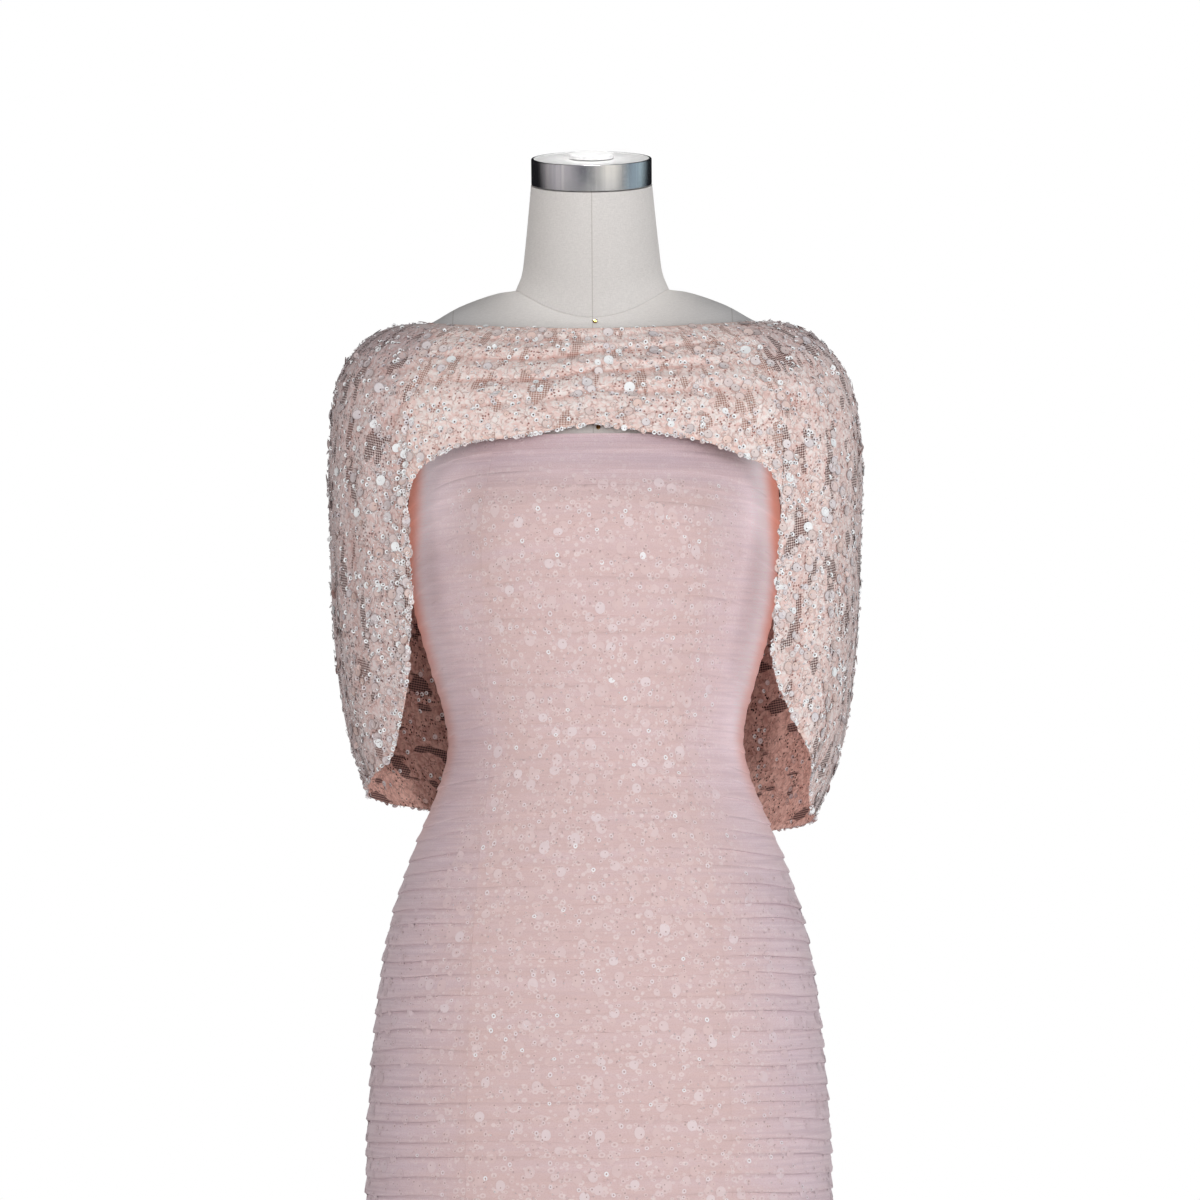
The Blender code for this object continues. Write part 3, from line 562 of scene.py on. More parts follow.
class Finish(Nodes):
    """A procedural material."""

    def __init__(self, name, **sockets):
        self.material = bpy.data.materials.new(name)
        self.material.use_nodes = True
        super().__init__(self.material.node_tree)
        self.set(**sockets)

    def set(self, **sockets):
        for name, value in sockets.items():
            self.feed(self.tree.nodes["Principled BSDF"].inputs[name.replace("_", " ")], value)

    def stretched(self, place, **settings):
        return self.node("ShaderNodeMapping", Vector=place, **settings).outputs["Vector"]

    def cloth_place(self, x=1.0, y=1.0):
        """The place on the cloth in metres, stretched by x along and y down."""
        uv = self.node("ShaderNodeUVMap", {"uv_map": "cloth"}).outputs["UV"]
        return self.stretched(uv, Scale=(x, y, 1))

    def place(self, **settings):
        return self.stretched(self.node("ShaderNodeTexCoord").outputs["Object"], **settings)

    def painted(self, name):
        return self.node("ShaderNodeAttribute", {"attribute_name": name}).outputs["Fac"]

    def noise(self, place, scale, detail=2.0, roughness=0.5, output="Fac"):
        inputs = {"Vector": place, "Scale": scale, "Detail": detail, "Roughness": roughness}
        return self.node("ShaderNodeTexNoise", **inputs).outputs[output]

    def cells(self, place, scale, uneven=1.0, output="Distance", feature="F1"):
        inputs = {"Vector": place, "Scale": scale, "Randomness": uneven}
        return self.node("ShaderNodeTexVoronoi", {"feature": feature}, **inputs).outputs[output]

    def step(self, value, low, high):
        """0 where the value is on low's far side, 1 on high's, and a soft step between."""
        inputs = {"Value": value, "From_Min": low, "From_Max": high, "To_Min": 0.0, "To_Max": 1.0}
        settings = {"interpolation_type": "SMOOTHSTEP"}
        return self.node("ShaderNodeMapRange", settings, **inputs).outputs["Result"]

    def mix(self, share, first, second, blend="MIX"):
        settings = {"data_type": "RGBA", "blend_type": blend}
        return self.node("ShaderNodeMix", settings, i0=share, i6=first, i7=second).outputs[2]

    def over(self, body, *layers):
        """Colours laid over a colour, each as (share, colour) and how it blends if it isn't plainly."""
        for share, *layer in layers:
            body = self.mix(share, body, *layer)
        return body

    def paint_in_light(self, colour):
        """Painted light: an emission standing in for the light that comes through the thin cloth where the
        capelet's net keeps the lamps off it.
        """
        self.set(Emission_Color=colour, Emission_Strength=self.times(self.painted("through"), 0.25))

    def finished(self, colour, relief, depth):
        """The material, with its colour and its relief."""
        bump = self.node("ShaderNodeBump", Strength=1.0, Distance=depth, Height=relief)
        self.set(Base_Color=colour, Normal=bump.outputs["Normal"])
        return self.material


def painted_light_share(angle, level):
    """How much painted light, as emission, the bodice's cloth gets: most at its sides, and more on the key
    lamp's side.
    """
    side = np.abs(np.sin(angle))
    wide, rim, top = ease_in(side, 0.55, 1.0), ease_in(side, 0.80, 0.95), ease_in(level, 0.93, 0.965)
    right = 0.84 * wide * ease_in(level, 0.70, 0.90) + 0.9 * rim * ease_in(level, 0.74, 0.88)
    right = right + 0.16 * ease_in(side, 0.74, 0.86) * ease_in(level, 0.78, 0.88)
    right = right + 0.50 * ease_in(side, 0.72, 0.88) * top
    left = 0.65 * wide * ease_in(level, 0.79, 0.90) + 0.45 * rim * ease_in(level, 0.76, 0.88)
    left = left + 0.48 * ease_in(side, 0.52, 0.86) * top
    return np.where(np.sin(angle) > 0, right, left)


def tulle_finish():
    """Fine net in tucks over sequinned cloth: peach where it is seen through, mauve where layers add up."""
    f = Finish(
        "tucked_tulle", Roughness=0.85, Sheen_Weight=0.35, Sheen_Roughness=0.45, Specular_IOR_Level=0.25
    )
    flat, veil, painted_glow = f.cloth_place(), f.painted("veil"), f.painted("painted_glow")
    threads = f.noise(f.cloth_place(9, 330), 1.0, 3.0, 0.65)
    grain = f.noise(flat, 900, 2.0, 0.6)
    clouds = f.noise(f.cloth_place(1, 3), 22, 3.0, 0.55)
    uneven = f.op("MULTIPLY", f.op("SUBTRACT", clouds, 0.5, False), 0.7, False)
    layers = f.op("ADD", veil, f.op("ADD", uneven, f.times(f.painted("band"), 0.3), False))
    body = f.mix(layers, (227, 198, 195), (235, 213, 220))
    body = f.mix(f.times(f.step(grain, 0.42, 0.66), 0.30), body, (208, 168, 160))
    seen = f.op("SUBTRACT", 1.0, f.times(veil, 0.75))
    for scale, near, far, share in ((118, 0.17, 0.25, 0.55), (210, 0.16, 0.27, 0.45)):
        away = f.cells(flat, scale)
        ring = f.times(f.step(away, near - 0.04, near), f.step(away, far + 0.04, far))
        middle = f.times(f.step(away, 0.10, 0.05), f.times(seen, 0.45))
        body = f.over(body, (f.times(ring, f.times(seen, share)), (246, 230, 228)), (middle, (176, 136, 130)))
    lines = f.times(f.step(threads, 0.38, 0.68), f.op("ADD", 0.12, f.times(veil, 0.30)))
    body = f.over(
        body,
        (lines, (192, 166, 176)),
        # painted light: salmon at the bodice's edges beside the falls
        (painted_glow, (238, 172, 153)),
        # painted shade along the tucks' folded edges
        (f.times(f.painted("fold"), 0.42), (158, 132, 142)),
        # painted shade under the capelet's band and on the left side panel
        (f.painted("shade"), (214, 206, 212), "MULTIPLY"),
    )
    # painted light: emission over the cloth's sides, salmon at its edges
    f.paint_in_light(f.mix(painted_glow, (246, 240, 246), (228, 154, 136)))
    return f.finished(body, f.op("ADD", threads, f.times(grain, 0.5), False), 0.00025)


def veiled_sequin_finish():
    """Sequins of the underlayer as they show through the tulle."""
    f = Finish("sequins_under_tulle", Roughness=0.45, Specular_IOR_Level=0.5, Sheen_Weight=0.3)
    lot = f.painted("lot")
    body = f.over(
        f.mix(f.step(lot, 0.0, 0.85), (228, 199, 196), (243, 228, 230)),
        # white sequins, and painted glints standing in for sparkle
        (f.step(lot, 0.86, 1.0), (252, 247, 248)),
        (f.times(f.painted("veil"), 0.85), (222, 198, 206)),
        (f.times(f.step(lot, -0.2, -0.8), 0.7), (170, 134, 130)),
    )
    # painted light: the same emission as the cloth round them
    f.paint_in_light((246, 240, 246))
    return f.finished(body, f.noise(f.place(), 1500), 0.0001)


def open_net(f, uv, x=1.5, y=0.7):
    """(holes, bare): the net's even square holes, and where the net is bare of embroidery."""
    patches = f.noise(f.cloth_place(x, y), 36, 2.0, 0.55)
    return f.step(f.cells(uv, 470, 0.0), 0.48, 0.36), f.step(patches, 0.575, 0.60)


def shaded_specks(f, uv, scale=360):
    """Small dark gaps between the leaves, in clusters: painted shade in the net's openings."""
    chosen = f.step(f.cells(uv, scale, 1.0, "Color"), 0.44, 0.48)
    crowd = f.step(f.noise(uv, 52, 2.0), 0.44, 0.56)
    return f.times(f.step(f.cells(uv, scale), 0.40, 0.27), f.times(chosen, crowd))


def lace(f, uv):
    """(leaves, gaps) of the embroidery: small leaf shapes with narrow, broken gaps between them."""
    sway = f.noise(uv, 90, output="Color")
    bent = f.node("ShaderNodeMixRGB", Fac=0.012, Color1=uv, Color2=sway).outputs["Color"]
    away = f.cells(bent, 185, 1.0, "Distance", "DISTANCE_TO_EDGE")
    broken = f.step(f.noise(uv, 130, 2.0), 0.40, 0.58)
    return f.noise(bent, 240, 3.0, 0.6), f.times(f.step(away, 0.11, 0.03), broken)


def net_finish():
    """Outside of the capelet: small-meshed net, embroidered nearly all over."""
    f = Finish("sequinned_net", Roughness=0.6, Specular_IOR_Level=0.4, Sheen_Weight=0.3)
    uv, shoulder = f.cloth_place(), f.painted("shoulder")
    holes, bare = open_net(f, uv)
    leaves, gaps = lace(f, uv)
    # darker and more small gaps where the painted shade is deep
    outer = f.step(shoulder, 0.20, 0.65)
    work = f.over(
        f.mix(f.step(leaves, 0.35, 0.65), (246, 214, 206), (255, 244, 239)),
        (f.times(gaps, 0.45), (206, 156, 142)),
        (f.times(shaded_specks(f, uv), 0.9), f.mix(outer, (148, 86, 74), (88, 70, 72))),
        (f.times(shaded_specks(f, uv, 255), f.times(outer, 0.8)), (104, 84, 84)),
    )
    # Painted shade: what shows through the bare net is dark where the falls hang away from the body, and
    # peach over the band.
    behind = f.mix(f.painted("shade_behind"), (188, 144, 132), (112, 78, 74))
    body = f.over(
        work,
        (bare, f.mix(holes, (250, 230, 222), behind)),
        # painted shade, greyer towards the outer sides and on the left
        (shoulder, (196, 188, 196), "MULTIPLY"),
        # painted shade in the valleys of the gathers and folds
        (f.times(f.painted("crease_shade"), 0.5), (198, 124, 104)),
        (f.times(f.painted("edge"), 0.6), (246, 204, 188)),
    )
    relief = f.op("SUBTRACT", leaves, f.op("ADD", gaps, f.times(holes, bare)), False)
    return f.finished(body, relief, 0.0004)


def net_inside_finish():
    """Inside of the capelet, in its own shade, with the embroidery's back."""
    f = Finish("net_inside", Roughness=0.8, Specular_IOR_Level=0.2)
    uv = f.cloth_place()
    holes, bare = open_net(f, uv, 0.6, 1.5)
    leaves, gaps = lace(f, uv)
    body = f.over(
        f.mix(f.step(leaves, 0.35, 0.65), (190, 148, 137), (224, 186, 174)),
        (f.times(gaps, 0.5), (120, 86, 78)),
        (shaded_specks(f, uv), (58, 42, 40)),
        (bare, f.mix(holes, (170, 134, 126), (56, 44, 44))),
        (f.painted("hem"), (240, 198, 178)),
    )
    # painted light: emission in the lining's own colours near the lower edge
    f.paint_in_light(body)
    return f.finished(body, leaves, 0.0006)


def sequin_finish():
    """Sequins on the net: clear, milky and white ones, with a dark hole for the thread."""
    f = Finish("sequins", Roughness=0.25, Specular_IOR_Level=0.6, Coat_Weight=0.4, Coat_Roughness=0.1)
    lot = f.painted("lot")
    body = f.over(
        f.mix(f.step(lot, 0.0, 0.55), (244, 214, 203), (234, 218, 214)),
        (f.step(lot, 0.50, 0.85), (242, 232, 232)),
        (f.times(f.step(f.noise(f.place(), 95, 1.0), 0.50, 0.66), 0.3), (224, 218, 226)),
        # painted shade: a dark outline round each flat sequin
        (f.times(f.step(f.painted("rim"), 0.80, 0.96), 0.55), (150, 124, 120)),
        # painted shade, as on the net under them
        (f.painted("shoulder"), (206, 200, 204), "MULTIPLY"),
        # white sequins, and painted glints standing in for sparkle
        (f.step(lot, 0.86, 0.90), (255, 255, 255)),
        (f.step(lot, -0.2, -0.8), (96, 66, 62)),
    )
    return f.finished(body, f.noise(f.place(), 700), 0.0002)


def linen_finish(name, seams):
    """Natural linen of the form, with the lines of its seams given as (axis, place), and painted shade that
    greys it towards the sides, where its top faces up, away from the lamps.
    """
    f = Finish(name, Roughness=0.9, Specular_IOR_Level=0.2, Sheen_Weight=0.15)
    warp, weft = (f.noise(f.place(Scale=scale), 1.0) for scale in ((2400, 2400, 300), (300, 300, 2400)))
    weave = f.op("MULTIPLY", f.op("ADD", warp, weft, False), 0.5, False)
    body = f.mix(f.step(weave, 0.35, 0.65), (210, 205, 201), (222, 217, 213))
    body = f.mix(f.times(f.step(f.noise(f.place(), 14, 3.0), 0.45, 0.75), 0.12), body, (204, 196, 190))
    axes = f.node("ShaderNodeSeparateXYZ", Vector=f.place()).outputs
    for axis, at in seams:
        away = f.op("SUBTRACT", f.op("ABSOLUTE", axes[axis], 0, False), at, False)
        away = f.op("ABSOLUTE", away, 0, False)
        body = f.mix(f.times(f.step(away, 0.0006, 0.0002), 0.42), body, (150, 140, 130))
    # painted shade: greyer and cooler towards the sides
    outward_shade = f.times(f.step(f.op("ABSOLUTE", axes[0], 0, False), 0.06, 0.14), 0.8)
    return f.finished(f.mix(outward_shade, body, (234, 237, 242), "MULTIPLY"), weave, 0.00020)


def steel_finish():
    """Steel brushed round its axis, which leans with the neck, with darker and lighter streaks along it,
    partly the brushing and partly painted reflection.
    """
    f = Finish("brushed_steel", Metallic=1.0, Roughness=0.24, Anisotropic=0.85, Anisotropic_Rotation=0.25)
    tangent = f.node("ShaderNodeTangent", {"direction_type": "RADIAL", "axis": "Z"}).outputs["Tangent"]
    upright = f.place(Rotation=(-CAP_TILT, 0, 0))
    lines = f.noise(f.stretched(upright, Scale=(60, 60, 5200)), 1.0)
    streaks = f.noise(f.stretched(upright, Scale=(70, 70, 0.5)), 1.0, 3.0, 0.6)
    polish = f.node("ShaderNodeMapRange", Value=lines, To_Min=0.20, To_Max=0.28).outputs["Result"]
    f.set(Tangent=tangent, Roughness=polish)
    # partly painted reflection: bands of brighter and darker colour up the cap
    body = f.mix(f.step(streaks, 0.36, 0.62), (204, 204, 208), (236, 236, 236))
    return f.finished(f.mix(f.times(lines, 0.2), body, (160, 162, 166)), lines, 0.00008)


def plain_finish(name, light, dark, scale, depth, **sockets):
    """A painted, moulded or cast finish with slight wear and grain."""
    f = Finish(name, **sockets)
    grain = f.noise(f.place(), scale, 3.0)
    return f.finished(f.mix(f.step(grain, 0.3, 0.7), dark, light), grain, depth)


# ---------------------------------------------------------------- sequins

def circle(sides, radius, off, z):
    turns = [2 * math.pi * i / sides for i in range(sides)]
    return [(off + radius * math.cos(a), radius * math.sin(a), z) for a in turns]


def disc_shape(sides, hole_sides, hole, off, cup):
    """Points, faces and first sunk point of a sequin of radius 1, whose off-centre hole the thread closes."""
    holes = [circle(hole_sides, hole, off, z) for z in (0.0, -0.06)]
    count = sides + hole_sides
    faces = laced_faces([*range(sides), 0], [*range(sides, count), sides])
    faces.append(tuple(range(count, count + hole_sides)))
    return circle(sides, 1, 0, cup) + holes[0] + holes[1], faces, count


def bead_shape():
    points = [(1, 0, 0), (0, 1, 0), (-1, 0, 0), (0, -1, 0), (0, 0, 1), (0, 0, -0.4)]
    sides = [(i, (i + 1) % 4) for i in range(4)]
    return points, [(a, b, 4) for a, b in sides] + [(b, a, 5) for a, b in sides], 6


SHAPES = {
    "paillette": disc_shape(12, 5, 0.15, 0.40, 0.10),
    "spangle": disc_shape(8, 4, 0.18, 0.20, 0.12),
    "ring": disc_shape(8, 5, 0.42, 0.0, 0.25),
    "bead": bead_shape(),
}


def spread(rng, width, height, cell, share=1.0):
    """Random places over a rectangle, one in each cell."""
    across, up = max(int(width / cell), 1), max(int(height / cell), 1)
    x, y = np.meshgrid(np.arange(across), np.arange(up))
    x = (x.ravel() + rng.uniform(0, 1, x.size)) * width / across
    y = (y.ravel() + rng.uniform(0, 1, y.size)) * height / up
    keep = rng.uniform(0, 1, x.size) < share
    return x[keep], y[keep]


def rims_of(kind, count):
    """1 on the rim of each of the flat sequins of a kind and 0 elsewhere, where a dark outline is painted as
    the shadow along its edge.
    """
    points, _, sunk = SHAPES[kind]
    flat = kind in ("paillette", "spangle")
    rim = [float(flat and i < sunk and math.hypot(x, y) > 0.97) for i, (x, y, _) in enumerate(points)]
    return np.tile(rim, count)


def lots_of(kind, lot):
    """Each sequin's lot for all its points, and -1 for those in its hole."""
    points, _, sunk = SHAPES[kind]
    lots = np.repeat(lot[:, None], len(points), axis=1)
    lots[:, sunk:] = -1
    return lots


def sequin_piece(name, groups, finish):
    """One piece from many placed groups of sequins, each as (kind, points, lots)."""
    points, faces, start = [], [], 0
    for kind, placed, _ in groups:
        count, each = placed.shape[:2]
        points.append(placed.reshape(-1, 3))
        for k in range(count):
            base = start + k * each
            faces.extend(tuple(base + i for i in face) for face in SHAPES[kind][1])
        start += count * each
    made = piece(name, np.concatenate(points), faces, [FINISHES[finish]])
    paint(made, lot=np.concatenate([lots.ravel() for _, _, lots in groups]))
    return made


# ---------------------------------------------------------------- the gown

def panel_rows():
    """Tuck place of every ring of a panel's outside."""
    places = [tuck + share for tuck in range(TUCKS) for share, _ in TUCK_FOLD]
    return np.array(places + [float(TUCKS)])


def drawn_back(rows, levels, seam, end, beside):
    """Moves a panel's edge back from its seam, as far as its neighbour or the zip needs."""
    half = np.full(len(rows), VISIBLE_GAP)
    if seam == "back_centre":
        half[height_at(levels) > ZIP_END] = ZIP_WIDTH / 2 + SEAM_GAP
    along = rows[:, beside] - rows[:, end]
    along[:, 2] = 0
    rows[:, end] += unit(along) * half[:, None]


def veil_of(angle, level):
    """How much the tulle hides the peach below: more at the sides and over the top of the bodice."""
    turn = np.abs(turn_of(angle))
    turn = np.minimum(turn, np.pi - turn)
    sides = 0.75 * ease_in(turn, 0.55, 1.15) + 0.12 * (turn > 0.63)
    return np.clip(np.maximum(sides, 0.60 * ease_in(level, 0.955, 0.985)), 0, 1)


def panel_paint(name, angles, places, levels):
    """What the tulle's finish reads at each point of a panel's outside."""
    fraction = places - np.floor(places)
    # Painted shade: a thin dark line along each tuck's folded edge and just under it, strongest where the
    # tucks lie crisp.
    line = np.interp(fraction, [0, 0.025, 0.09, 0.78, 0.985], [1, 0.55, 0.05, 0, 0.8])
    shown = np.clip(tuck_depth(angles, places), 0, 1) * (0.12 + 0.88 * crispness(angles, levels))
    wide = 0.5 + 0.5 * np.sin(2.3 * angles + 1.7 * np.floor(places)) * np.sin(0.9 * places)
    high = levels + 0 * angles
    side = np.abs(np.sin(angles)) + 0.03 * ease_in(high, 0.93, 0.965)
    # Painted light: a salmon edge beside the capelet's falls, laid into the cloth's colour and into its
    # emission.
    painted_glow = ease_in(side, 0.90, 1.0) ** 1.3 * ease_in(high, 0.73, 0.81)
    painted_glow = painted_glow * (0.6 + 0.4 * ease_in(high, 0.85, 0.92))
    # Painted shade: darker under the capelet's band at the top, and on the left side panel, away from the key
    # lamp.
    shade = 0.26 * ease_in(high, 0.955, 0.985)
    if name.endswith("side_left"):
        shade = shade + 0.10 * ease_in(np.cos(angles), 0.0, 0.5) * (1 - ease_in(high, 0.84, 0.90))
    return {
        "fold": line * shown,
        "veil": veil_of(angles, levels),
        "band": (0.5 - 0.5 * np.cos(2 * np.pi * (fraction - 0.1))) * wide,
        "painted_glow": painted_glow,
        "shade": shade,
        "through": painted_light_share(angles, levels),
    }


def build_panel(name, first, last, count, flat, area):
    """A wall of tulle from seam to seam: tucks outside and the plain form inside."""
    places = panel_rows()
    walls = []
    for levels in (level_of(places), TUCK_EDGES):
        start, end = seam_angle(first, levels)[:, None], seam_angle(last, levels)[:, None]
        angles = start + (end - start) * (np.arange(count + 1) / count)
        if levels is TUCK_EDGES:
            grid = gown_point(angles, tilted_height(levels[:, None] + 0 * angles, angles), 0.0)
        else:
            grid = gown_skin(angles, places[:, None])
        drawn_back(grid, levels, first, 0, 1)
        drawn_back(grid, levels, last, -1, -2)
        walls.append((grid, angles, levels[:, None]))
    (outer, angles, levels), (inner, inner_angles, _) = walls
    (rows, cols), inner_rows = outer.shape[:2], inner.shape[0]
    below = rows * cols
    faces = grid_faces(rows, cols) + grid_faces(inner_rows, cols, below, flip=True)
    faces += end_strips(rows, inner_rows, cols)
    for c, flip in ((0, True), (cols - 1, False)):
        faces += laced_faces(range(c, below, cols), range(below + c, below + inner_rows * cols, cols), flip)
    points = np.concatenate([outer.reshape(-1, 3), inner.reshape(-1, 3)])
    made = piece(name.replace("gown_", "tulle_"), points, faces, [FINISHES["tulle"]], 55)
    lay_out(made, np.concatenate([angles.ravel(), inner_angles.ravel()]) * CLOTH_ROUND, points[:, 2])
    for label, values in panel_paint(name, angles, places[:, None], levels).items():
        quiet = np.full(inner_angles.size, 0.5 * (label == "veil"))
        paint(made, **{label: np.concatenate([values.ravel(), quiet])})
    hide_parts(name)
    sequins = build_panel_sequins(name, first, last)


def build_panel_sequins(name, first, last):
    """Sequins of the underlayer: they take the tucks' form, because the tulle lies over them."""
    rng = np.random.default_rng(sum(map(ord, name)))
    groups, veils, lit = [], [], []
    for kind, radius, cell, share, brightest, glints in UNDER_TULLE:
        x, y = spread(rng, UNDER_TULLE_SPREAD, GOWN_TALL, cell, share)
        places = y / GOWN_TALL * TUCKS
        low_enough = (places > 0.5) & (places < TUCKS - 2.6)
        x, places = x[low_enough], places[low_enough]
        levels = level_of(places)
        start, end = seam_angle(first, levels), seam_angle(last, levels)
        angles = start + x / UNDER_TULLE_ROUND
        inside = angles < end - radius / CLOTH_ROUND - 0.01
        inside &= angles > start + radius / CLOTH_ROUND + 0.01
        arm = ease_in(np.abs(np.sin(angles)), 0.70, 0.84) * ease_in(levels, 0.70, 0.76)
        inside &= rng.uniform(0, 1, len(angles)) > 0.6 * veil_of(angles, levels) + arm
        angles, places, levels = angles[inside], places[inside], levels[inside]
        along = gown_skin(angles + PROBE, places) - gown_skin(angles - PROBE, places)
        along = np.linalg.norm(along, axis=-1)[:, None] / (2 * PROBE)
        x, y, z = np.array(SHAPES[kind][0]).T
        spin = rng.uniform(0, 2 * np.pi, len(angles))[:, None]
        size = radius * rng.uniform(0.9, 1.06, len(angles))[:, None]
        across = size * (np.cos(spin) * x - np.sin(spin) * y)
        up = size * (np.sin(spin) * x + np.cos(spin) * y)
        lift = 0.00012 + (0.0005 if kind == "bead" else 0.00025) * np.maximum(z, 0)[None, :]
        lift = lift + rng.uniform(0, 0.00018, len(angles))[:, None]
        placed = gown_skin(angles[:, None] + across / along, places[:, None] + up / (GOWN_TALL / TUCKS), lift)
        lot = rng.uniform(0.1, brightest, len(angles)) ** 1.6
        lot = np.where(rng.uniform(0, 1, len(angles)) < glints, 1.0, 0.8 * lot)
        groups.append((kind, placed, lots_of(kind, lot)))
        veils.append(np.repeat(veil_of(angles, levels), len(x)))
        lit.append(np.repeat(painted_light_share(angles, levels), len(x)))
    made = sequin_piece(name.replace("gown_", "underlayer_sequins_"), groups, "veiled_sequins")
    paint(made, veil=np.concatenate(veils), through=np.concatenate(lit))
    return made


# ---------------------------------------------------------------- the capelet

def capelet_threads(first_row, last_row, per_row):
    """The threads of one half of the capelet, as (side, row), from one edge to the other."""
    half = np.linspace(first_row, last_row, int((last_row - first_row) * per_row) + 1)
    if first_row == 0:
        run = [(-1, at) for at in half[:0:-1]] + [(1, at) for at in half]
    else:
        run = [(1, at) for at in half] + [(-1, at) for at in half[-2::-1]]
    return np.array(run)


def on_grid(grid, row, col):
    """Points of a grid between its rows and columns."""
    r, c = np.floor(row).astype(int), np.floor(col).astype(int)
    r, c = np.clip(r, 0, grid.shape[0] - 2), np.clip(c, 0, grid.shape[1] - 2)
    u, v = (row - r)[:, None], (col - c)[:, None]
    return (
        grid[r, c] * (1 - u) * (1 - v) + grid[r + 1, c] * u * (1 - v)
        + grid[r, c + 1] * (1 - u) * v + grid[r + 1, c + 1] * u * v
    )


def run_down(grid):
    """Length of cloth from a grid's first row down to each row."""
    steps = np.linalg.norm(np.diff(grid, axis=0), axis=2)
    return np.cumsum(np.vstack([np.zeros(steps.shape[1]), steps]), axis=0)


def capelet_slant(angle, level):
    """Length of cloth from the neckline down to a level, straight down at an angle."""
    last = len(CAPELET_LEVELS) - 1
    ring = row_at(CAPELET_LEVELS, np.linspace(0, last, 5 * last + 1)[:, None])
    run = run_down(ring_point(ring, np.radians(np.arange(-180, 181, 5))[None, :]))[..., None]
    turn = np.degrees(turn_of(angle))
    return on_grid(run, 5 * np.minimum(level, last).ravel(), ((turn + 180) / 5).ravel()).reshape(angle.shape)


def capelet_paint(side, place, level, depth, crease_shade):
    """What the net's finishes read at each point: depth is the cloth's length up from the lower edge."""
    away = 1 - ease_in(place, 14, BACK_CENTRE_ROW)
    # Painted shade: greyer high up where the net turns over the arms, towards the falls' outer sides, and
    # more on the left, away from the key lamp.
    shoulder = 0.30 * bell(level - 2.6, 1.8) * ease_in(place, 5, 9) + 0.25 * ease_in(place, 10.5, 13)
    shoulder = np.clip(shoulder + (0.25 - 0.15 * side * away) * ease_in(place, 6.5, 9.5), 0, 1)
    # Painted light for the inside near the lower edge, read as emission: deeper on the right, a narrow strip
    # on the left.
    right = 1.2 * (1 - ease_in(depth, 0.03, 0.085))
    right = np.maximum(right, (1 - ease_in(depth, 0.12, 0.17)) * (1 - ease_in(place, 14.65, 14.9)))
    left = 1.1 * (1 - ease_in(depth, 0.025, 0.045)) * (1 - ease_in(place, 14.45, 14.7))
    return {
        "crease_shade": crease_shade,
        "edge": bell(np.minimum(depth, depth[-1] - depth), 0.0035),
        "shoulder": shoulder,
        "hem": bell(depth, 0.020) * ease_in(place, 7, 8) * (1 - ease_in(place, 10, 12)),
        # painted shade seen through the falls' bare net
        "shade_behind": ease_in(place, 5, 8),
        "through": np.where(side > 0, right * away**0.3, left) * ease_in(place, 12.5, 13.5),
    }


def build_capelet_half(name, node, first_row, last_row, per_row, flat, area):
    run = capelet_threads(first_row, last_row, per_row)
    side, at, down = run[None, :, 0], run[None, :, 1], np.linspace(1, 0, CAPELET_ROWS + 1)[:, None]
    taper = NET_SUNK * np.minimum(np.minimum(down, 1 - down) / 0.02, 1)
    outer, inner = capelet_skin(side, at, down, taper - NET_SUNK), capelet_skin(side, at, down, -NET_INSIDE)
    for grid in (outer, inner):
        for end, beside in ((0, 1), (-1, -2)):
            grid[:, end] += unit(grid[:, beside] - grid[:, end]) * VISIBLE_GAP
    rows, cols = outer.shape[:2]
    below = rows * cols
    rims = end_strips(rows, rows, cols) + strip_faces(range(0, below, cols), range(below, 2 * below, cols))
    rims += strip_faces(range(cols - 1, below, cols), range(below + cols - 1, 2 * below, cols), flip=True)
    outside, inside = grid_faces(rows, cols), grid_faces(rows, cols, below, flip=True)
    points = np.concatenate([outer.reshape(-1, 3), inner.reshape(-1, 3)])
    made = piece(name, points, outside + rims + inside, [FINISHES["net"], FINISHES["net_inside"]])
    indices = [0] * (len(outside) + len(rims)) + [1] * len(inside)
    made.data.polygons.foreach_set("material_index", indices)
    angle, level, _, crease_shade = capelet_relief(*np.broadcast_arrays(*folded_back(side, at), down))
    turn = angle if first_row == 0 else angle % (2 * np.pi)
    lay_out(made, np.tile(AROUND * turn, (2, 1)), np.tile(capelet_slant(angle, level), (2, 1)))
    layers = capelet_paint(side, at + 0 * down, level, run_down(outer), crease_shade)
    paint(made, **{label: np.tile(values, (2, 1)) for label, values in layers.items()})
    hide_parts(node)
    walls = [(outer, 1, SEWN_OUTSIDE)] + [(inner, -1, SEWN_INSIDE)] * (first_row > 0)
    sequins = build_capelet_sequins(name, walls, layers["shoulder"])


def sewn(rng, grid, facing, kind, radius, rows, cols, tilt, stand):
    """Points of one kind of sequin, sewn on the outside (facing 1) or the inside (-1) of a grid of points."""
    across, upward = unit(np.gradient(grid, axis=1)), unit(np.gradient(grid, axis=0))
    normal = unit(np.cross(across, upward)) * facing
    centre, z, x = (on_grid(vectors, rows, cols) for vectors in (grid, normal, across))
    z, x = unit(z), unit(x)
    y = np.cross(z, x)
    count = len(rows)
    spin = rng.uniform(0, 2 * np.pi, count)[:, None]
    x, y = x * np.cos(spin) + y * np.sin(spin), y * np.cos(spin) - x * np.sin(spin)
    lean = np.clip(np.abs(rng.normal(0, tilt, count)), 0, 1.15)[:, None]
    lean = np.where(rng.uniform(0, 1, (count, 1)) < 0.05, lean + 0.6, lean)
    leaned = z * np.cos(lean) + x * np.sin(lean)
    x = x * np.cos(lean) - z * np.sin(lean)
    size = radius * rng.uniform(0.88, 1.08, count)[:, None]
    shape = np.array(SHAPES[kind][0])
    centre = centre + z * (stand * rng.uniform(0.3, 1.0, (count, 1)) + size * np.sin(lean) * 0.45)
    return centre[:, None] + size[:, :, None] * (
        shape[None, :, 0, None] * x[:, None] + shape[None, :, 1, None] * y[:, None]
        + shape[None, :, 2, None] * leaned[:, None]
    )


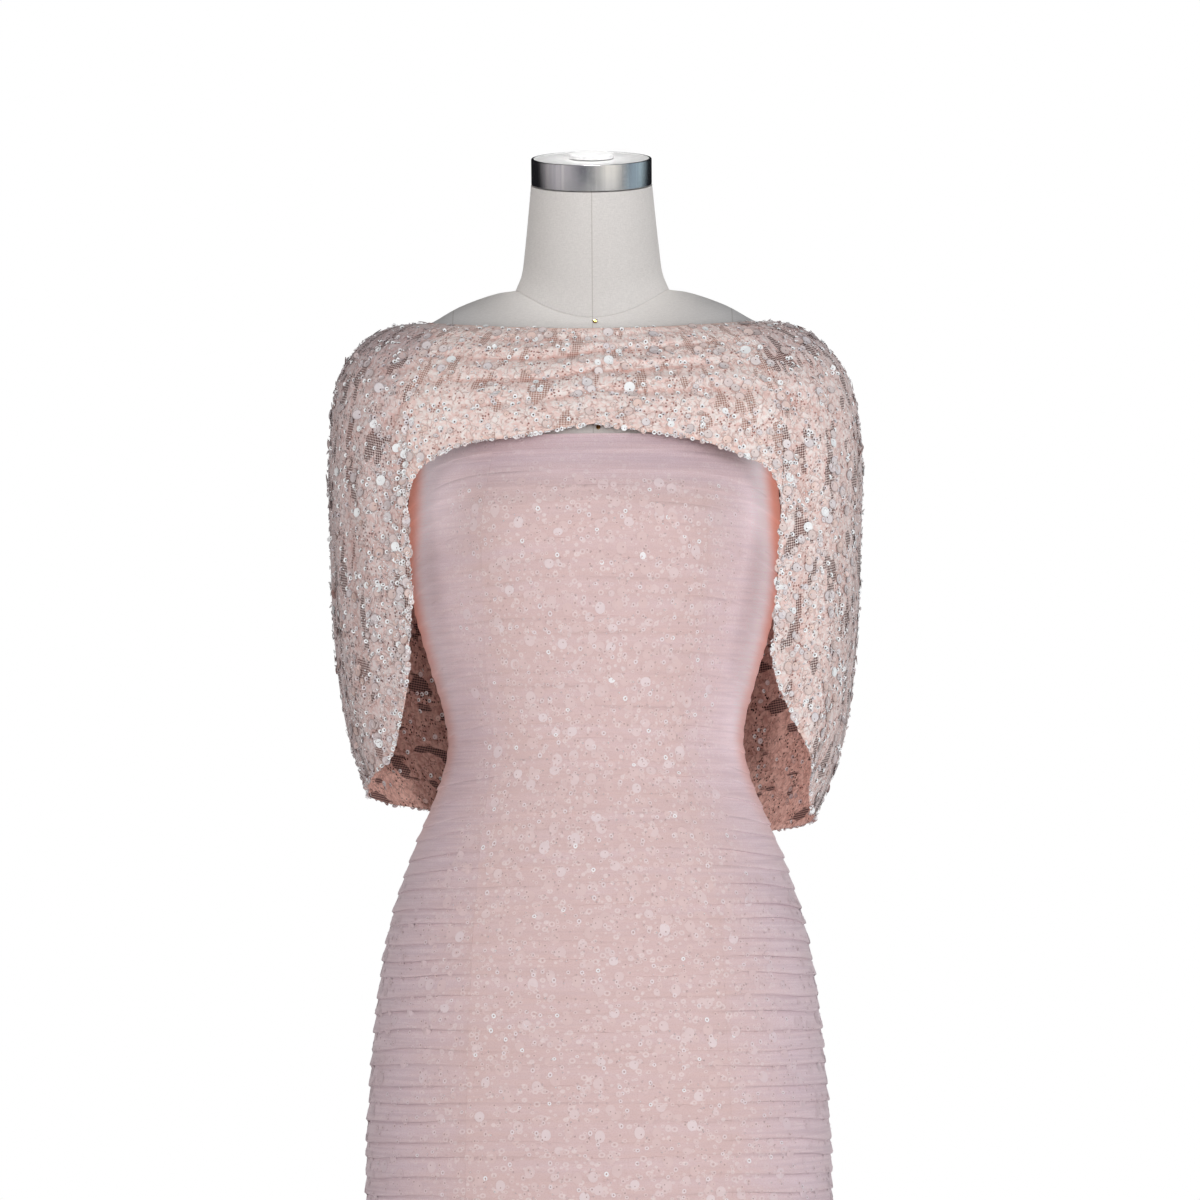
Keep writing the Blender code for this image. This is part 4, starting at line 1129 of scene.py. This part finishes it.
def build_capelet_sequins(name, walls, shoulder):
    """Sequins and beads sewn all over the net, by the area of its cloth, and a fringe of them at its edge."""
    rng = np.random.default_rng(sum(map(ord, name)))
    groups, sequin_shades, rims = [], [], []

    def add(grid, facing, kind, radius, rows, cols, tilt, stand):
        placed = sewn(rng, grid, facing, kind, radius, rows, cols, tilt, stand)
        lot = rng.uniform(0, 1, len(rows))
        if kind in ("ring", "bead"):
            lot = 0.55 + 0.45 * lot**0.35
        groups.append((kind, placed, lots_of(kind, lot)))
        sequin_shade = on_grid(shoulder[..., None], rows, cols)[:, 0]
        sequin_shades.append(np.repeat(sequin_shade if facing > 0 else 0 * sequin_shade, placed.shape[1]))
        rims.append(rims_of(kind, len(rows)))

    for grid, facing, kinds in walls:
        sides = [np.linalg.norm(np.gradient(grid, axis=i), axis=2)[:-1, :-1] for i in (0, 1)]
        area = (sides[0] * sides[1]).ravel()
        for kind, radius, per_area, tilt, stand in kinds:
            count = int(per_area * area.sum())
            picked = rng.choice(len(area), count, p=area / area.sum())
            rows = picked // (grid.shape[1] - 1) + rng.uniform(0, 1, count)
            cols = picked % (grid.shape[1] - 1) + rng.uniform(0, 1, count)
            add(grid, facing, kind, radius, rows, cols, tilt, stand)
    grid = walls[0][0]
    steps = np.linalg.norm(np.diff(grid[0], axis=0), axis=1)
    for kind, radius, apart in FRINGE:
        count = int(steps.sum() / apart)
        picked = rng.choice(len(steps), count, p=steps / steps.sum())
        add(grid, 1, kind, radius, rng.uniform(0, 0.5, count), picked + rng.uniform(0, 1, count), 0.7, 0.0004)
    made = sequin_piece(name + "_sequins", groups, "sequins")
    paint(made, shoulder=np.concatenate(sequin_shades), rim=np.concatenate(rims))
    return made


# ---------------------------------------------------------------- the form

def build_linen(name, node, rings, finish):
    """A linen skin round closed rings, capped at both ends."""
    count, last = len(rings[0]), (len(rings) - 1) * len(rings[0])
    points = np.concatenate(rings + [np.mean(rings[0], axis=0)[None], np.mean(rings[-1], axis=0)[None]])
    low, high = last + count, last + count + 1
    around = [(i, (i + 1) % count) for i in range(count)]
    faces = [(r + i, r + j, r + j + count, r + i + count) for r in range(0, last, count) for i, j in around]
    for i, j in around:
        faces += [(j, i, low), (last + i, last + j, high)]
    made = piece(name, points, faces, [FINISHES[finish]], 50)
    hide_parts(node)


def build_form():
    """The form's sides follow the gown's inside, and its shoulders and neck their own rings."""
    angles = np.linspace(0, 2 * np.pi, FORM_SIDES + 1)[:-1]
    levels = TUCK_EDGES[FORM_LOWEST_TUCK::2]
    rings = []
    for drawn_in, drop in FORM_FOOT:
        rings.append(gown_point(angles, height_at(levels[0]) + 0 * angles, -EASE - drawn_in))
        rings[-1][:, 2] -= drop
    for level in levels:
        rings.append(gown_point(angles, tilted_height(level + 0 * angles, angles), -EASE))
    shoulders, neck = (
        [ring_point(row_at(table, at), angles) for at in np.linspace(0, len(table) - 1, count)]
        for table, count in ((SHOULDER_RINGS, 37), (NECK_RINGS, 17))
    )
    build_linen("form_body_linen", "form_body", rings + shoulders, "linen_body")
    build_linen("form_neck_linen", "form_neck", neck, "linen_neck")


def build_neck_cap():
    """The steel cap: a drum with a rolled rim above and below."""
    bpy.ops.object.select_all(action="DESELECT")
    middle = (0, 0, CAP_HEIGHT / 2)
    bpy.ops.mesh.primitive_cylinder_add(vertices=96, radius=CAP_RADIUS, depth=CAP_HEIGHT, location=middle)
    cap = bpy.context.active_object
    cap.name = "steel_neck_cap"
    bpy.ops.object.transform_apply(location=True, rotation=True, scale=True)
    bpy.ops.object.mode_set(mode="EDIT")
    bpy.ops.mesh.select_mode(type="FACE")
    for top in (True, False):
        bpy.ops.mesh.select_all(action="DESELECT")
        shape = bmesh.from_edit_mesh(cap.data)
        for face in shape.faces:
            face.select = abs(face.normal.z) > 0.9 and (face.calc_center_median().z > CAP_HEIGHT / 2) == top
        bmesh.update_edit_mesh(cap.data)
        bpy.ops.mesh.inset(thickness=CAP_RIM, depth=0)
        bpy.ops.mesh.inset(thickness=CAP_GROOVE, depth=-CAP_SUNK)
    bpy.ops.object.mode_set(mode="OBJECT")
    edges = cap.modifiers.new("rims", "BEVEL")
    edges.width, edges.segments, edges.limit_method, edges.angle_limit = 0.0009, 3, "ANGLE", math.radians(50)
    bpy.ops.object.modifier_apply(modifier="rims")
    turn = Matrix.Rotation(CAP_TILT, 4, "X")
    foot = Vector(CAP_CENTRE) + turn @ Vector((0, 0, SEAM_GAP))
    cap.data.transform(Matrix.Translation(foot) @ turn)
    bpy.ops.object.shade_smooth_by_angle(angle=math.radians(35))
    cap.data.materials.clear()
    for finish in ("steel", "knob"):
        cap.data.materials.append(FINISHES[finish])
    up = turn.to_3x3() @ Vector((0, 0, 1))
    for face in cap.data.polygons:
        on_top = (face.center - foot).dot(up) > CAP_HEIGHT - 0.0012 and face.normal.dot(up) > 0.5
        from_middle = (face.center - foot - up * CAP_HEIGHT).length
        face.material_index = int(on_top and from_middle < CAP_RADIUS - 0.002)
    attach(cap, "root")
    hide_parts("form_neck_cap")


def dress_kept_nodes():
    """Finishes of the solids that show as they are."""
    for node, finish in (
        ("gown_back_zip", "zip_tape"),
        ("form_knob", "knob"),
        ("form_nail_neck", "brass"),
        ("form_nail_bust", "brass"),
        ("stand_pole", "steel"),
        ("stand_hub", "stand_paint"),
        ("stand_base", "stand_paint"),
    ):
        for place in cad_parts[node].material_slots:
            place.material = FINISHES[finish]


# ---------------------------------------------------------------- light, floor and camera

def build_room():
    """A white room for the camera, an even one for the light, and cards and a window for the mirrors."""
    world = bpy.data.worlds.new("white_room")
    bpy.context.scene.world = world
    world.use_nodes = True
    world.node_tree.nodes.clear()
    room = Nodes(world.node_tree)
    direction = room.node("ShaderNodeTexCoord").outputs["Generated"]
    x, y, z = room.node("ShaderNodeSeparateXYZ", i0=direction).outputs
    ceiling = {"Value": z, "From_Min": 0.0, "From_Max": 0.8, "To_Min": ROOM[0], "To_Max": ROOM[1]}
    strength = room.node("ShaderNodeMapRange", **ceiling).outputs["Result"]
    azimuth = room.op("ARCTAN2", x, room.op("MULTIPLY", y, -1, False), False)
    walls = room.node("ShaderNodeMapRange", Value=azimuth, From_Min=-math.pi, From_Max=math.pi)
    cards = room.node("ShaderNodeValToRGB", Fac=walls.outputs["Result"])
    ramp = cards.color_ramp
    while len(ramp.elements) > 1:
        ramp.elements.remove(ramp.elements[-1])
    for i, (degrees, shade) in enumerate(CARDS):
        at = 0.5 + degrees / 360
        stop = ramp.elements[0] if i == 0 else ramp.elements.new(at)
        stop.position, stop.color = at, tone(*shade)
    seen, lighting, mirrored = (
        room.node("ShaderNodeBackground", Color=colour, Strength=power).outputs[0]
        for colour, power in (((255, 255, 255), 1), ((255, 255, 255), strength), (cards.outputs["Color"], 1))
    )
    path = room.node("ShaderNodeLightPath").outputs
    unseen = room.node("ShaderNodeMixShader", i0=path["Is Glossy Ray"], i1=lighting, i2=mirrored).outputs[0]
    both = room.node("ShaderNodeMixShader", i0=path["Is Camera Ray"], i1=unseen, i2=seen).outputs[0]
    room.node("ShaderNodeOutputWorld", Surface=both)


def add_lamp(name, kind, place, facing, **settings):
    """A lamp at a place, facing along a direction."""
    lamp = bpy.data.lights.new(name, kind)
    for setting, value in settings.items():
        setattr(lamp, setting, value)
    made = bpy.data.objects.new(name, lamp)
    made.location = place
    made.rotation_euler = facing.to_track_quat("-Z", "Y").to_euler()
    bpy.context.scene.collection.objects.link(made)
    return made


def build_stage():
    bpy.context.scene.view_settings.view_transform = "Standard"
    build_room()
    for name, place, size, power, colour in LAMPS:
        settings = {"shape": "SQUARE", "size": size, "energy": power, "color": colour}
        add_lamp(name, "AREA", place, LAMPS_FACE - Vector(place), **settings).visible_glossy = False
    up = Matrix.Rotation(CAP_TILT, 3, "X") @ Vector((0, 0, 1))
    add_lamp("cap_spot", "SPOT", Vector(CAP_CENTRE) + CAP_SPOT_AWAY * up, -up, **CAP_SPOT)
    bpy.ops.object.select_all(action="DESELECT")
    bpy.ops.mesh.primitive_plane_add(size=5, location=(0, 0, -0.0005))
    floor = bpy.context.active_object
    floor.name = "floor"
    floor.data.materials.append(
        plain_finish("pale_floor", (238, 237, 235), (232, 231, 229), 3, 0.0002, Roughness=0.7)
    )


def build_camera():
    lens = bpy.data.cameras.new("camera")
    lens.sensor_width, lens.lens, lens.clip_start, lens.clip_end = 36, LENS, 0.05, 50
    camera = bpy.data.objects.new("camera", lens)
    bpy.context.scene.collection.objects.link(camera)
    camera.location = CAMERA_PLACE
    aim = Vector(CAMERA_AIM) - camera.location
    camera.rotation_mode = "QUATERNION"
    camera.rotation_quaternion = aim.to_track_quat("-Z", "Y") @ Quaternion((0, 0, 1), CAMERA_ROLL)
    bpy.context.scene.camera = camera


build_camera()
FINISHES = {
    "tulle": tulle_finish(),
    "veiled_sequins": veiled_sequin_finish(),
    "net": net_finish(),
    "net_inside": net_inside_finish(),
    "sequins": sequin_finish(),
    "linen_body": linen_finish("linen_body", ((0, 0.0), (0, 0.1185))),
    "linen_neck": linen_finish("linen_neck", ((0, 0.0),)),
    "steel": steel_finish(),
    "brass": plain_finish("brass", (206, 172, 104), (150, 112, 58), 900, 0.0001, Metallic=1.0, Roughness=0.3),
    "knob": plain_finish("white_knob", (244, 243, 242), (232, 231, 230), 200, 0.00005, Roughness=0.35),
    "stand_paint": plain_finish("stand_paint", (58, 58, 62), (44, 44, 48), 500, 0.0002, Roughness=0.5),
    "zip_tape": plain_finish("zip_tape", (226, 196, 190), (196, 162, 158), 1300, 0.0003, Roughness=0.7),
}
build_form()
build_neck_cap()
for panel in PANELS:
    build_panel(*panel)
for half in CAPELET_HALVES:
    build_capelet_half(*half)
dress_kept_nodes()
build_stage()
